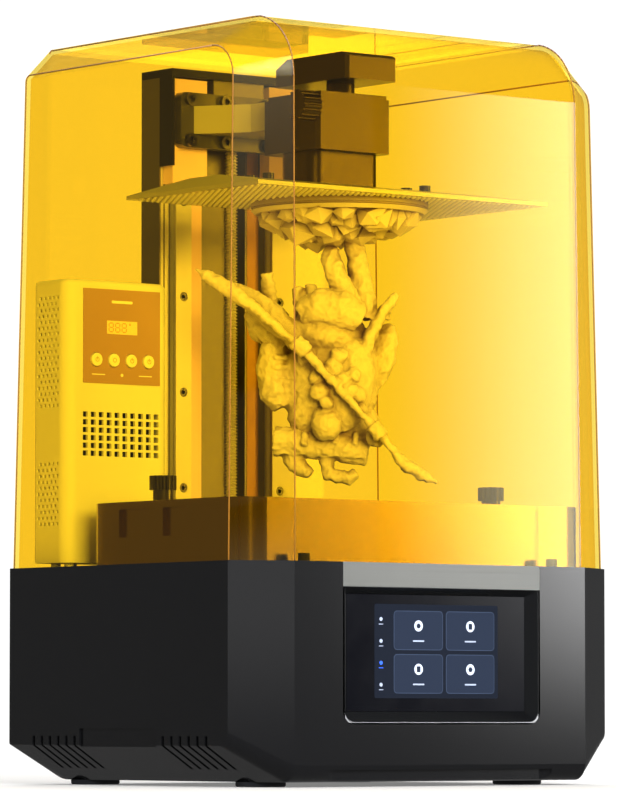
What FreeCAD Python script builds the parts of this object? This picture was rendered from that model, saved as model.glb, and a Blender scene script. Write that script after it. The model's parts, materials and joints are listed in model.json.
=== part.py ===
import FreeCAD, Part
import math
import os
import re
import sys
import Sketcher

Vector = FreeCAD.Vector
doc = FreeCAD.newDocument("resin_printer")

# Driving dimensions in millimetres. The origin is at the middle of the footprint, on the surface that the
# printer stands on: +X is its right side, seen from the front, -Y its front and +Z up.
DIMENSIONS = {
    # whole machine: a faceted case whose corner strips run over the top and under the bottom
    "body_width": 295, "body_depth": 257, "body_height": 459, "split_height": 133, "foot_height": 3,
    "wall": 2.5, "strip_across": 34, "strip_front": 20, "strip_rear": 17, "strip_under": 21.5,
    "under_front_round": 10, "under_rear_round": 32, "under_side_round": 1.5,
    "under_side_front": 8, "fit_gap": 0.2,
    # amber cover: it stands a little inside the case and leans inwards towards its roof
    "cover_inset": 1.5, "cover_wall": 3, "cover_side_lean": 6, "cover_strip_lean": 1.4,
    "cover_front_lean": 3.2, "cover_front_round": 40, "cover_rear_round": 4, "cover_strip_top": 20,
    # lower case openings
    "floor_open_x": 88, "floor_open_front": 86, "floor_open_rear": 60,
    "vent_width": 2.7, "vent_pitch": 8.45, "vent_count": 6, "vent_low": 10,
    "vent_high": 30, "vent_deep": 23.5,
    "vent_rear_y": 43.4, "vent_front_y": -87.6, "grip_half": 38.4, "grip_high": 34.6, "grip_deep": 1.5,
    "relief_half": 87, "relief_high": 10, "relief_deep": 6,
    # front screen
    "bezel_half": 77, "bezel_low": 37, "bezel_high": 118.5, "bezel_round": 8, "bezel_deep": 11,
    "recess_half": 75.4, "recess_low": 38, "recess_deep": 6, "panel_half": 69.6, "panel_low": 44.6,
    "panel_high": 114.4, "glass_thick": 1.5, "display_half": 60, "display_low": 48, "display_high": 112,
    "display_thick": 4, "badge_thick": 2.5,
    # floor, feet and deck
    "plate_thick": 2, "floor_margin": 9, "floor_slot_long": 46, "floor_slot_wide": 3, "floor_slot_pitch": 7,
    "floor_slot_count": 9, "foot_radius": 15, "foot_x": 100.4, "foot_front_y": -79.6, "foot_rear_y": 86,
    "foot_edge": 0.8, "deck_thick": 3, "deck_gap": 0.4, "deck_post_x": 104, "deck_post_front_y": -104,
    "deck_post_rear_y": 100, "deck_post_radius": 4.5,
    # exposure unit, centred under the build plate
    "vat_y": -28.8, "window_half_x": 112, "window_half_y": 64, "lcd_half_x": 118, "lcd_half_y": 69,
    "lcd_thick": 0.6, "light_half_x": 75, "light_half_y": 55, "light_low": 64, "light_wall": 2,
    "lens_low": 124, "lens_thick": 3, "led_thick": 2, "sink_half_x": 44, "sink_half_y": 45,
    "sink_plate": 6, "sink_low": 28, "fin_thick": 2, "fin_pitch": 8, "fin_count": 11,
    "fan_size": 80, "fan_deep": 20, "fan_bore": 37.5, "fan_radius": 36, "fan_hub": 15, "fan_blades": 7,
    "fan_rotor_deep": 15, "fan_spider": 3,
    # electronics
    "board_x": -96, "board_width": 50, "board_front": -70, "board_long": 120, "board_low": 14,
    "board_thick": 1.6, "standoff_radius": 3, "supply_x": 46, "supply_width": 50, "supply_long": 130,
    "supply_high": 32, "inlet_x": 58, "inlet_low": 40, "inlet_wide": 50, "inlet_high": 22, "inlet_deep": 18,
    "socket_wide": 24, "rocker_x": 101, "rocker_z": 51, "rocker_y": 122, "rocker_half": 5.5,
    "rocker_tall": 8.8, "rocker_room": 0.8, "rocker_pin": 1.5, "usb_y": -53, "usb_z": 63, "usb_wide": 13,
    "usb_high": 5.5,
    "usb_deep": 15,
    # tower, rails and lead screw
    "tower_half": 54.5, "tower_front": 82.2, "tower_rear": 101, "tower_top": 442, "tower_lip": 8.1,
    "rail_floor": 86, "channel_half": 16.4, "channel_rear": 96, "hood_front": 69, "hood_low": 386,
    "hood_wall": 2, "cap_thick": 5, "rail_x": 38.4, "rail_half": 6, "rail_front": 78, "rail_low": 140,
    "rail_high": 438, "rail_groove": 1, "rail_screw_radius": 2.75, "rail_hole_radius": 3,
    "rail_screw_low": 184.7, "rail_screw_pitch": 60, "rail_screw_count": 5, "rail_screw_sunk": 0.4,
    "screw_y": 79, "screw_radius": 4, "screw_low": 100, "screw_high": 440, "screw_room": 0.35,
    "motor_half": 21, "motor_low": 84, "motor_boss_radius": 11, "motor_boss_high": 2,
    "bearing_half": 20, "bearing_low": 433, "bearing_front": 71.5,
    "sensor_x": 17, "sensor_wide": 7, "sensor_low": 168, "sensor_high": 12, "sensor_deep": 6,
    # carriage and arm, at the top of their travel
    "block_half": 13.5, "block_low": 375, "block_tall": 32, "block_step": 34, "block_front": 71.9,
    "block_rear": 81.7, "block_room": 0.4, "carriage_half": 51, "carriage_front": 64.3,
    "carriage_low": 397.5, "carriage_high": 432, "carriage_round": 4, "cap_screw_radius": 4,
    "cap_screw_head": 3, "cap_screw_shank": 1.9, "cap_screw_hole": 2, "cap_screw_x1": 17,
    "cap_screw_x2": 44.5, "cap_screw_z1": 402, "cap_screw_z2": 427.5, "nut_half": 14, "nut_rear": 88,
    "nut_low": 403, "nut_high": 427, "arm_low": 406, "arm_high": 423.5, "arm_root_half": 41,
    "arm_tip_half": 19.5, "arm_bend_y": 34, "arm_end_y": 12, "tongue_half": 12, "tongue_end_y": -30,
    "tongue_high": 421.6,
    # platform: head, neck and build plate
    "head_half": 29.2, "head_front": -45, "head_rear": 10, "head_low": 388.5, "head_high": 422,
    "head_edge": 2.4, "slot_room": 0.4, "clamp_half": 26, "clamp_front": -44, "clamp_rear": 8,
    "clamp_thick": 2.5, "neck_half": 27, "neck_front": -37, "neck_rear": -3, "neck_round": 7,
    "platform_half_x": 114, "platform_half_y": 65.5, "platform_low": 357.7, "platform_edge": 2.4,
    "platform_high": 367.7, "ridge_half_x": 104, "ridge_half_y": 15, "plate_screw_x": 62,
    "plate_screw_y": 9, "plate_screw_radius": 3.5, "plate_screw_high": 4, "knob_radius": 9.25, "knob_y": -41,
    "knob_z": 415, "knob_end": 43, "knob_room": 0.3, "knob_shank_radius": 2, "knob_shank_long": 11,
    "knob_flute": 1.2, "knob_flutes": 16,
    # clamp lever on top of the head
    "lever_y": -31, "lever_half": 20, "lever_front": -62, "lever_rear": 10, "lever_low": 431.3,
    "lever_high": 447.7, "lever_nose": 5, "lever_tail": 13, "lever_side_edge": 2, "stem_radius": 8.7,
    "pin_radius": 5, "pin_room": 0.3, "pin_end": 422.2,
    # vat and its thumb screws
    "vat_half_x": 137, "vat_half_y": 78, "vat_high": 171, "vat_round": 20, "tray_half_x": 118,
    "tray_half_y": 69, "tray_round": 8, "under_half_x": 125.2, "under_half_y": 73.5, "under_high": 138,
    "frame_low": 134.8, "frame_room": 0.5, "film_half_x": 122, "film_half_y": 70.5, "film_thick": 0.5,
    "pocket_deep": 3, "pocket_low": 149.5, "pocket_high": 166.5, "pocket_a_front": -15.8,
    "pocket_a_rear": 12.5, "pocket_b_front": -54.5, "pocket_b_rear": -31.3, "thumb_x": 129.5,
    "thumb_y": -21.5, "thumb_head_radius": 8.2, "thumb_head_low": 177.5, "thumb_head_high": 186,
    "thumb_stem_radius": 6, "thumb_shank_radius": 3, "thumb_hole_radius": 3.4, "thumb_shank_low": 124,
    "thumb_rise": 0.3, "flute_radius": 1.5, "flute_count": 12,
    # air purifier standing at the left rear, inside the cover
    "air_left": -135.6, "air_right": -55.9, "air_front": 69, "air_rear": 101, "air_low": 136,
    "air_high": 311, "air_round": 8, "air_top_round": 4, "air_wall": 2, "air_back_thick": 2,
    "air_foot_radius": 3, "air_foot_in": 9, "fascia_left": -123.2, "fascia_right": -64.4,
    "fascia_low": 247, "fascia_high": 305.5, "fascia_thick": 0.8, "digits_left": -105.4,
    "digits_right": -82.3, "digits_low": 277.8, "digits_high": 286, "digits_thick": 0.3,
    "button_first_x": -113.6, "button_pitch": 13.3, "button_z": 261.6, "button_radius": 4.1,
    "button_room": 0.4, "button_out": 1.4, "button_long": 7, "grille_left": -123, "grille_low": 202,
    "grille_pitch_x": 6.05, "grille_pitch_z": 4.8, "grille_hole_x": 3.7, "grille_hole_z": 3.3,
    "grille_columns": 10, "grille_rows": 6, "pore_wide": 2.4, "pore_tall": 2, "pore_pitch_y": 4.4,
    "pore_pitch_z": 3.7, "pore_columns": 5, "pore_front": 77.3, "pore_high_low": 232, "pore_high_rows": 19,
    "pore_low_low": 159, "pore_low_rows": 11, "air_fan_size": 60, "air_fan_deep": 15, "air_fan_x": -96,
    "air_fan_z": 215.7, "air_fan_bore": 28, "air_fan_radius": 26.5, "air_fan_hub": 11,
    "air_fan_front": 71.5, "filter_half": 32, "filter_front": 87.5, "filter_rear": 99,
    "filter_low": 150, "filter_high": 250, "filter_pitch": 8, "filter_cell": 6,
    # posts that centre the cover on the deck
    "post_x": 97, "post_y": 116.5, "post_radius": 3.5, "post_high": 5,
    # sample print hung from the build plate
    "print_x": 1, "disc_radius": 55, "disc_thick": 7, "rock_high": 28, "rock_radius": 24,
    "trunk_radius": 14, "trunk_low": 300, "figure_radius": 34, "figure_low": 186,
}

sheet = doc.addObject("Spreadsheet::Sheet", "dims")
for row, (alias, number) in enumerate(DIMENSIONS.items(), start=1):
    sheet.set("A%d" % row, alias)
    sheet.set("B%d" % row, str(number))
    sheet.setAlias("B%d" % row, alias)
doc.recompute()

SUBPARTS = []


def dim(alias):
    """One driving dimension, read from the sheet."""
    return float(getattr(sheet, alias))


def bound(text):
    """The expression with each alias looked up in the sheet."""
    return re.sub(r"[a-z_]+[a-z0-9_]*", lambda word: "dims." + word.group(), str(text))


def keep(item, label=None):
    """Marks an object as a sub-part that is written to its own file."""
    if label:
        item.Label = label
    SUBPARTS.append(item)
    return item


def place(item, x="0", y="0", z="0"):
    """Binds an object's position to the sheet."""
    for axis, text in zip("xyz", (x, y, z)):
        item.setExpression("Placement.Base." + axis, bound(text))
    return item


def block(label, across, along, upward):
    """A box between two bounds on each axis, each bound an expression."""
    item = doc.addObject("Part::Box", label)
    for size, (low, high) in zip(("Length", "Width", "Height"), (across, along, upward)):
        item.setExpression(size, bound("(%s) - (%s)" % (high, low)))
    return place(item, across[0], along[0], upward[0])


AXIS_TURN = {
    "z": FreeCAD.Rotation(),
    "x": FreeCAD.Rotation(Vector(0, 1, 0), 90),
    "y": FreeCAD.Rotation(Vector(1, 0, 0), -90),
}


def rod(label, radius, length, x, y, z, axis="z"):
    """A cylinder that starts at x, y, z and runs along +axis."""
    item = doc.addObject("Part::Cylinder", label)
    item.setExpression("Radius", bound(radius))
    item.setExpression("Height", bound(length))
    item.Placement.Rotation = AXIS_TURN[axis]
    return place(item, x, y, z)


def cut(label, base, tools):
    """The base with every tool taken away."""
    tool = tools[0] if len(tools) == 1 else fuse(label + "_tools", tools)
    item = doc.addObject("Part::Cut", label)
    item.Base = base
    item.Tool = tool
    return item


def fuse(label, items):
    item = doc.addObject("Part::MultiFuse", label)
    item.Shapes = items
    return item


def group(label, items):
    """Separate solids that share one node."""
    item = doc.addObject("Part::Compound", label)
    item.Links = items
    return item


def mirrored(label, source):
    """The source seen in the printer's middle plane, X = 0."""
    item = doc.addObject("Part::Mirroring", label)
    item.Source = source
    item.Base = Vector(0, 0, 0)
    item.Normal = Vector(1, 0, 0)
    return item


def body(label):
    return doc.addObject("PartDesign::Body", label)


def sketch(owner, role, offset="0"):
    """A sketch on one of the body's own origin planes, moved along the plane's normal."""
    item = owner.newObject("Sketcher::SketchObject", owner.Label + "_sketch")
    plane = next(feature for feature in owner.Origin.OriginFeatures if feature.Role == role)
    item.AttachmentSupport = [(plane, "")]
    item.MapMode = "FlatFace"
    item.setExpression("AttachmentOffset.Base.z", bound(offset))
    return item


def pin_point(item, geometry, vertex, point):
    """Ties one sketch point to two expressions, its distances from the sketch's origin."""
    for kind, text in zip(("DistanceX", "DistanceY"), point):
        number = item.addConstraint(Sketcher.Constraint(kind, -1, 1, geometry, vertex, 1.0))
        item.setExpression("Constraints[%d]" % number, bound(text))


def polygon(owner, role, points, offset="0"):
    """A closed outline of straight lines through points given as expressions."""
    item = sketch(owner, role, offset)
    count = len(points)
    turn = 2 * math.pi / count
    start = [Vector(math.cos(turn * i), math.sin(turn * i), 0) for i in range(count)]
    for i in range(count):
        item.addGeometry(Part.LineSegment(start[i], start[(i + 1) % count]), False)
    for i in range(count):
        item.addConstraint(Sketcher.Constraint("Coincident", i, 2, (i + 1) % count, 1))
    for i, point in enumerate(points):
        pin_point(item, i, 1, point)
    return item


def rectangle(owner, role, across, along, offset="0"):
    (x0, x1), (y0, y1) = across, along
    return polygon(owner, role, [(x0, y0), (x1, y0), (x1, y1), (x0, y1)], offset)


def circle(owner, role, centre, radius, offset="0"):
    item = sketch(owner, role, offset)
    item.addGeometry(Part.Circle(Vector(1, 1, 0), Vector(0, 0, 1), 1.0), False)
    pin_point(item, 0, 3, centre)
    number = item.addConstraint(Sketcher.Constraint("Radius", 0, 1.0))
    item.setExpression("Constraints[%d]" % number, bound(radius))
    return item


def extruded(owner, kind, profile, length, reverse=False):
    """A Pad or a Pocket of the profile."""
    item = owner.newObject("PartDesign::" + kind, owner.Label + "_" + kind.lower())
    item.Profile = profile
    item.Reversed = reverse
    item.setExpression("Length", bound(length))
    profile.Visibility = False
    return item


def pad(owner, profile, length, reverse=False):
    return extruded(owner, "Pad", profile, length, reverse)


def pocket(owner, profile, length, reverse=False):
    return extruded(owner, "Pocket", profile, length, reverse)


def dressed(owner, kind, size, wanted):
    """A Fillet or Chamfer on the edges of the body's tip that the test picks."""
    doc.recompute()
    base = owner.Tip
    names = ["Edge%d" % (i + 1) for i, edge in enumerate(base.Shape.Edges) if wanted(edge)]
    item = owner.newObject("PartDesign::" + kind, owner.Label + "_" + kind.lower())
    item.Base = (base, names)
    item.setExpression("Radius" if kind == "Fillet" else "Size", bound(size))
    return item


def along_axis(edge, axis):
    """True for a straight edge that runs along the axis."""
    if not isinstance(edge.Curve, Part.Line):
        return False
    return abs(abs(edge.Curve.Direction.dot(axis)) - 1) < 1e-6


def is_upright(edge):
    return along_axis(edge, Vector(0, 0, 1))


def repeated(owner, feature, role, length, count):
    """A linear pattern of the feature along an axis of the body."""
    item = owner.newObject("PartDesign::LinearPattern", owner.Label + "_row")
    item.Originals = [feature]
    axis = next(part for part in owner.Origin.OriginFeatures if part.Role == role)
    item.Direction = (axis, [""])
    item.setExpression("Length", bound(length))
    item.setExpression("Occurrences", bound(count))
    owner.Tip = item
    return item


def solid_feature(label, shape):
    item = doc.addObject("Part::Feature", label)
    item.Shape = shape
    return item


# ---------------------------------------------------------------- faceted case and cover

def outline(points, radii):
    """A closed wire through the points, with each corner rounded by its own radius."""
    count = len(points)
    arcs = []
    for i, (corner, radius) in enumerate(zip(points, radii)):
        before = (points[i - 1] - corner).normalize()
        after = (points[(i + 1) % count] - corner).normalize()
        half = before.getAngle(after) / 2
        reach = radius / math.tan(half)
        middle = (before + after).normalize() * (radius / math.sin(half) - radius)
        arcs.append((corner + before * reach, corner + middle, corner + after * reach))
    edges = []
    for i, (first, middle, last) in enumerate(arcs):
        edges.append(Part.Arc(first, middle, last).toShape())
        edges.append(Part.LineSegment(last, arcs[(i + 1) % count][0]).toShape())
    return Part.Wire(edges)


def section(x, corners, radii, pivot_height, lean):
    """An upright outline across the machine at X = x. It leans towards the middle above the pivot height.
    Corners are (Y, Z) pairs, in the order front bottom, rear bottom, rear top, front top."""
    wire = outline([Vector(x, y, z) for y, z in corners], radii)
    wire.rotate(Vector(x, 0, pivot_height), Vector(0, 1, 0), -math.copysign(lean, x))
    return wire


def facet_loft(sections):
    """The solid between the sections, with flat or single-curved faces."""
    return Part.makeLoft(sections, True, True)


SPARE = 30        # how far a loft runs past the plane that trims it


def trimmed(shape, low, high):
    """The part of the shape between two heights."""
    width, depth = dim("body_width") + SPARE, dim("body_depth") + SPARE
    return shape.common(Part.makeBox(width, depth, high - low, Vector(-width / 2, -depth / 2, low)))


def case_solid(skin):
    """The lower case as a solid, made smaller by skin on every side."""
    half_width, half_depth = dim("body_width") / 2, dim("body_depth") / 2
    low, high = dim("foot_height") + skin, dim("split_height") + SPARE
    front, rear = -half_depth + skin, half_depth - skin
    front_in, rear_in = dim("strip_front") - 0.43 * skin, dim("strip_rear") - 0.43 * skin
    under_in = dim("strip_under") - 0.43 * skin
    middle_x = half_width - dim("strip_across") - 0.27 * skin
    side_x = half_width - skin
    middle = [(front, low), (rear, low), (rear, high), (front, high)]
    side = [(front + front_in, low + under_in), (rear - rear_in, low + under_in),
            (rear - rear_in, high), (front + front_in, high)]
    middle_radii = [dim("under_front_round") - skin, dim("under_rear_round") - skin, 4, 4]
    side_radii = [dim("under_side_front"), dim("under_side_round"), 4, 4]
    rows = [(-side_x, side, side_radii), (-middle_x, middle, middle_radii),
            (middle_x, middle, middle_radii), (side_x, side, side_radii)]
    return facet_loft([section(x, corners, radii, 0, 0) for x, corners, radii in rows])


def cover_solid(skin):
    """The cover as a solid, made smaller by skin on every side."""
    half_width = dim("body_width") / 2 - dim("cover_inset")
    half_depth = dim("body_depth") / 2 - dim("cover_inset")
    base, top = dim("split_height"), dim("body_height") - skin
    low = base - SPARE
    rise = top - base
    lean_y = dim("cover_front_lean")
    flare = lean_y * SPARE / rise
    front, rear = -half_depth + skin, half_depth - skin
    front_in, rear_in = dim("strip_front") - 0.43 * skin, dim("strip_rear") - 0.43 * skin
    top_in = dim("cover_strip_top") - 0.43 * skin
    middle_x = half_width - dim("strip_across") - 0.27 * skin
    side_x = half_width - skin
    middle = [(front - flare, low), (rear + flare, low), (rear - lean_y, top), (front + lean_y, top)]
    side = [(front + front_in - flare, low), (rear - rear_in + flare, low),
            (rear - rear_in - lean_y, top - top_in), (front + front_in + lean_y, top - top_in)]
    middle_radii = [4, 4, dim("cover_rear_round") - skin, dim("cover_front_round") - skin]
    side_radii = [4, 4, dim("cover_rear_round") - skin, dim("cover_front_round") - top_in - skin]
    side_lean = math.degrees(math.atan(dim("cover_side_lean") / rise))
    middle_lean = math.degrees(math.atan(dim("cover_strip_lean") / rise))
    rows = [(-side_x, side, side_radii, side_lean), (-middle_x, middle, middle_radii, middle_lean),
            (middle_x, middle, middle_radii, middle_lean), (side_x, side, side_radii, side_lean)]
    return facet_loft([section(x, corners, radii, base, lean) for x, corners, radii, lean in rows])


def make_cover():
    skin = dim("cover_wall")
    base, top = dim("split_height"), dim("body_height")
    hollow = cover_solid(0).cut(cover_solid(skin))
    keep(solid_feature("cover_shell", trimmed(hollow, base, top + SPARE)))


def relief_solid(margin):
    """The low, wide hollow under the middle of the front edge, larger by margin on every side."""
    half, front = dim("relief_half") + margin, -dim("body_depth") / 2 - 10
    deep = dim("relief_deep") + 10 + margin
    wide = Part.makeBox(2 * half, deep, dim("relief_high") + margin, Vector(-half, front, 0))
    ends = [edge for edge in wide.Edges if is_upright(edge) and edge.CenterOfMass.y > front + 1]
    return wide.makeFillet(dim("relief_deep"), ends)


def vent_cutter(x_side):
    """Two rows of slots that wrap from one side face onto the strip beneath it."""
    width, pitch = dim("vent_width"), dim("vent_pitch")
    low, high, deep = dim("vent_low"), dim("vent_high"), dim("vent_deep")
    edge = dim("body_width") / 2 + 1
    x_low = edge - deep if x_side > 0 else -edge
    slots = []
    for first in (dim("vent_front_y"), dim("vent_rear_y")):
        for i in range(int(dim("vent_count"))):
            corner = Vector(x_low, first + i * pitch - width / 2, low)
            slots.append(Part.makeBox(deep, width, high - low, corner))
    return Part.makeCompound(slots)


def make_base_shell():
    skin = dim("wall")
    outside = case_solid(0).cut(relief_solid(0))
    inside = case_solid(skin).cut(relief_solid(skin))
    case = solid_feature("case_hollow", trimmed(outside.cut(inside), 0, dim("split_height")))
    floor_hole = block("floor_hole", ("-floor_open_x", "floor_open_x"),
                       ("-floor_open_front", "floor_open_rear"), ("0", "foot_height + 3 * wall"))
    vents = [solid_feature("vents_%s" % name, vent_cutter(side)) for name,
             side in (("left", -1), ("right", 1))]
    screen = body("screen_hole")
    pad(screen,
        rectangle(screen, "XZ_Plane", ("-bezel_half", "bezel_half"), ("bezel_low", "split_height + 5"),
                          "body_depth / 2 - 5"), "10")
    dressed(screen, "Fillet", "bezel_round", is_low_corner)
    rear_hole = block("inlet_hole", ("inlet_x - fit_gap", "inlet_x + inlet_wide + fit_gap"),
                      ("body_depth / 2 - 5", "body_depth / 2 + 5"),
                      ("inlet_low - fit_gap", "inlet_low + inlet_high + fit_gap"))
    usb_hole = block("usb_hole", ("body_width / 2 - 5", "body_width / 2 + 5"),
                     ("usb_y - usb_wide / 2 - fit_gap", "usb_y + usb_wide / 2 + fit_gap"),
                     ("usb_z - usb_high / 2 - fit_gap", "usb_z + usb_high / 2 + fit_gap"))
    grips = [block("grip_left", ("-body_width / 2 - 1", "-body_width / 2 + grip_deep"),
                   ("-grip_half", "grip_half"), ("0", "grip_high")),
             block("grip_right", ("body_width / 2 - grip_deep", "body_width / 2 + 1"),
                   ("-grip_half", "grip_half"), ("0", "grip_high"))]
    tools = [floor_hole, screen, rear_hole, usb_hole] + vents + grips
    posts = [rod("deck_post", "deck_post_radius", "split_height - deck_thick - foot_height - 2", x, y,
                 "foot_height + 2")
             for x in ("-deck_post_x", "deck_post_x") for y in ("deck_post_front_y", "deck_post_rear_y")]
    keep(fuse("base_shell", [cut("case_open", case, tools)] + posts))


def is_low_corner(edge):
    """An edge along Y below the middle of the screen opening."""
    return along_axis(edge, Vector(0, 1, 0)) and edge.CenterOfMass.z < dim("bezel_high") - 20


# ---------------------------------------------------------------- lower case and what it holds

def make_floor():
    plate = body("floor_plate")
    edge = "floor_margin"
    pad(plate, rectangle(plate, "XY_Plane", ("-floor_open_x - " + edge, "floor_open_x + " + edge),
                         ("-floor_open_front - " + edge, "floor_open_rear + " + edge),
                         "foot_height + wall"), "plate_thick")
    for x in ("-60", "14"):
        slot = rectangle(plate, "XY_Plane", (x, x + " + floor_slot_long"),
                         ("-70", "-70 + floor_slot_wide"), "foot_height + wall + plate_thick")
        repeated(plate, pocket(plate, slot, "plate_thick"), "Y_Axis",
                 "floor_slot_pitch * (floor_slot_count - 1)", "floor_slot_count")
    keep(plate)
    feet = []
    for x in ("-foot_x", "foot_x"):
        for y in ("foot_front_y", "foot_rear_y"):
            foot = body("foot")
            pad(foot, circle(foot, "XY_Plane", (x, y), "foot_radius"), "foot_height")
            dressed(foot, "Chamfer", "foot_edge", lambda edge: edge.BoundBox.ZMax < 0.1)
            feet.append(foot)
    keep(group("rubber_feet", feet))


def make_deck():
    deck = body("deck_plate")
    edge = "(wall + deck_gap)"
    right = "body_width / 2 - " + edge
    inner = "body_width / 2 - strip_across - " + edge
    near = "-body_depth / 2 + " + edge
    far = "body_depth / 2 - " + edge
    near_side = "-body_depth / 2 + strip_front + " + edge
    far_side = "body_depth / 2 - strip_rear - " + edge
    points = [("-(%s)" % inner, near), (inner, near), (right, near_side), (right, far_side),
              (inner, far), ("-(%s)" % inner, far), ("-(%s)" % right, far_side), ("-(%s)" % right, near_side)]
    pad(deck, polygon(deck, "XY_Plane", points, "split_height - deck_thick"), "deck_thick")
    window = rectangle(deck, "XY_Plane", ("-window_half_x", "window_half_x"),
                       ("vat_y - window_half_y", "vat_y + window_half_y"), "split_height")
    pocket(deck, window, "deck_thick")
    holes = [("0", "screw_y", "motor_boss_radius + screw_room"), ("thumb_x", "thumb_y", "thumb_hole_radius"),
             ("-thumb_x", "thumb_y", "thumb_hole_radius")]
    for x, y, radius in holes:
        pocket(deck, circle(deck, "XY_Plane", (x, y), radius, "split_height"), "deck_thick")
    keep(deck)
    posts = []
    for x in ("-post_x", "post_x"):
        for y in ("-post_y", "post_y"):
            posts.append(rod("post", "post_radius", "post_high", x, y, "split_height"))
    keep(group("cover_locators", posts))


def make_front():
    bezel = body("screen_bezel")
    pad(bezel, rectangle(bezel, "XZ_Plane", ("-bezel_half + fit_gap", "bezel_half - fit_gap"),
                         ("bezel_low + fit_gap", "bezel_high - fit_gap"), "body_depth / 2 - bezel_deep"),
        "bezel_deep")
    dressed(bezel, "Fillet", "bezel_round", is_low_corner)
    mouth = rectangle(bezel, "XZ_Plane", ("-recess_half", "recess_half"),
                      ("recess_low", "bezel_high - 2 * fit_gap"), "body_depth / 2")
    throat = rectangle(bezel, "XZ_Plane", ("-panel_half", "panel_half"), ("panel_low", "panel_high"),
                       "body_depth / 2 - recess_deep")
    slope = bezel.newObject("PartDesign::SubtractiveLoft", "bezel_slope")
    slope.Profile = mouth
    slope.Sections = [throat]
    slope.Ruled = True
    pocket(bezel, rectangle(bezel, "XZ_Plane", ("-panel_half", "panel_half"), ("panel_low", "panel_high"),
                            "body_depth / 2 - recess_deep"), "bezel_deep")
    keep(bezel)
    keep(block("front_badge", ("-bezel_half + fit_gap", "bezel_half - fit_gap"),
               ("-body_depth / 2", "-body_depth / 2 + badge_thick"), ("bezel_high", "split_height")))
    glass_front = "-body_depth / 2 + recess_deep"
    keep(block("touch_glass", ("-panel_half + fit_gap", "panel_half - fit_gap"),
               (glass_front, glass_front + " + glass_thick"), ("panel_low + fit_gap",
                                                               "panel_high - fit_gap")))
    back = glass_front + " + glass_thick"
    module = block("display_can", ("-display_half", "display_half"), (back, back + " + display_thick"),
                   ("display_low", "display_high"))
    chip = block("display_chip", ("-display_half / 2", "0"),
                 (back + " + display_thick", back + " + display_thick + 2"), ("display_low + 20",
                                                                              "display_high - 20"))
    keep(fuse("display_module", [module, chip]))


def fan_rotor_shape(hub, radius, deep, blades):
    """A hub with flat, tilted blades. Its axis is Z and its back face is at Z = 0."""
    shape = Part.makeCylinder(hub, deep)
    thick = 1.2
    for i in range(int(blades)):
        blade = Part.makeBox(radius - hub + 1, thick, deep * 1.1, Vector(hub - 1, -thick / 2, -deep * 0.55))
        blade.rotate(Vector(0, 0, 0), Vector(1, 0, 0), 38)
        blade.translate(Vector(0, 0, deep / 2))
        blade.rotate(Vector(0, 0, 0), Vector(0, 0, 1), 360.0 * i / blades)
        shape = shape.fuse(blade)
    swept = Part.makeCylinder(radius, deep)
    return shape.common(swept)


def fan_frame_shape(size, deep, bore, hub, spider):
    """A square frame with a round duct and four struts to the motor, on its back side."""
    frame = Part.makeBox(size, size, deep, Vector(-size / 2, -size / 2, 0))
    frame = frame.cut(Part.makeCylinder(bore, deep))
    carrier = Part.makeCylinder(hub, spider)
    for i in range(4):
        strut = Part.makeBox(bore + 1, 3, spider, Vector(0, -1.5, 0))
        strut.rotate(Vector(0, 0, 0), Vector(0, 0, 1), 45 + 90 * i)
        carrier = carrier.fuse(strut)
    return frame.fuse(carrier)


def make_exposure():
    keep(block("lcd_panel", ("-lcd_half_x", "lcd_half_x"), ("vat_y - lcd_half_y", "vat_y + lcd_half_y"),
               ("split_height", "split_height + lcd_thick")))
    across = ("-light_half_x", "light_half_x")
    along = ("vat_y - light_half_y", "vat_y + light_half_y")
    high = "split_height - deck_thick"
    outer = block("light_box", across, along, ("light_low", high))
    inner = block("light_room", ("-light_half_x + light_wall", "light_half_x - light_wall"),
                  ("vat_y - light_half_y + light_wall", "vat_y + light_half_y - light_wall"),
                  ("light_low - 1", high + " + 1"))
    keep(cut("light_housing", outer, [inner]))
    keep(block("fresnel_lens",
               ("-light_half_x + light_wall + fit_gap", "light_half_x - light_wall - fit_gap"),
               ("vat_y - light_half_y + light_wall + fit_gap", "vat_y + light_half_y - light_wall - fit_gap"),
               ("lens_low", "lens_low + lens_thick")))
    keep(block("led_board", across, along, ("light_low - led_thick", "light_low")))
    sink = body("heatsink")
    top = "light_low - led_thick"
    pad(sink, rectangle(sink, "XY_Plane", ("-sink_half_x", "sink_half_x"),
                        ("vat_y - sink_half_y", "vat_y + sink_half_y"), top + " - sink_plate"), "sink_plate")
    fin = rectangle(sink, "XY_Plane", ("-sink_half_x + 3", "-sink_half_x + 3 + fin_thick"),
                    ("vat_y - sink_half_y", "vat_y + sink_half_y"), top + " - sink_plate")
    first = pad(sink, fin, top + " - sink_plate - sink_low", reverse=True)
    repeated(sink, first, "X_Axis", "fin_pitch * (fin_count - 1)", "fin_count")
    keep(sink)
    floor_top = dim("foot_height") + dim("wall") + dim("plate_thick")
    frame = keep(solid_feature("light_fan_frame", fan_frame_shape(
        dim("fan_size"), dim("fan_deep"), dim("fan_bore"), dim("fan_hub"), dim("fan_spider"))))
    frame.Placement.Base = Vector(0, dim("vat_y"), floor_top)
    rotor = keep(solid_feature("light_fan_rotor", fan_rotor_shape(
        dim("fan_hub"), dim("fan_radius"), dim("fan_rotor_deep"), dim("fan_blades"))))
    rotor.Placement.Base = Vector(0, dim("vat_y"), floor_top + dim("fan_spider") + 0.5)


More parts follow.
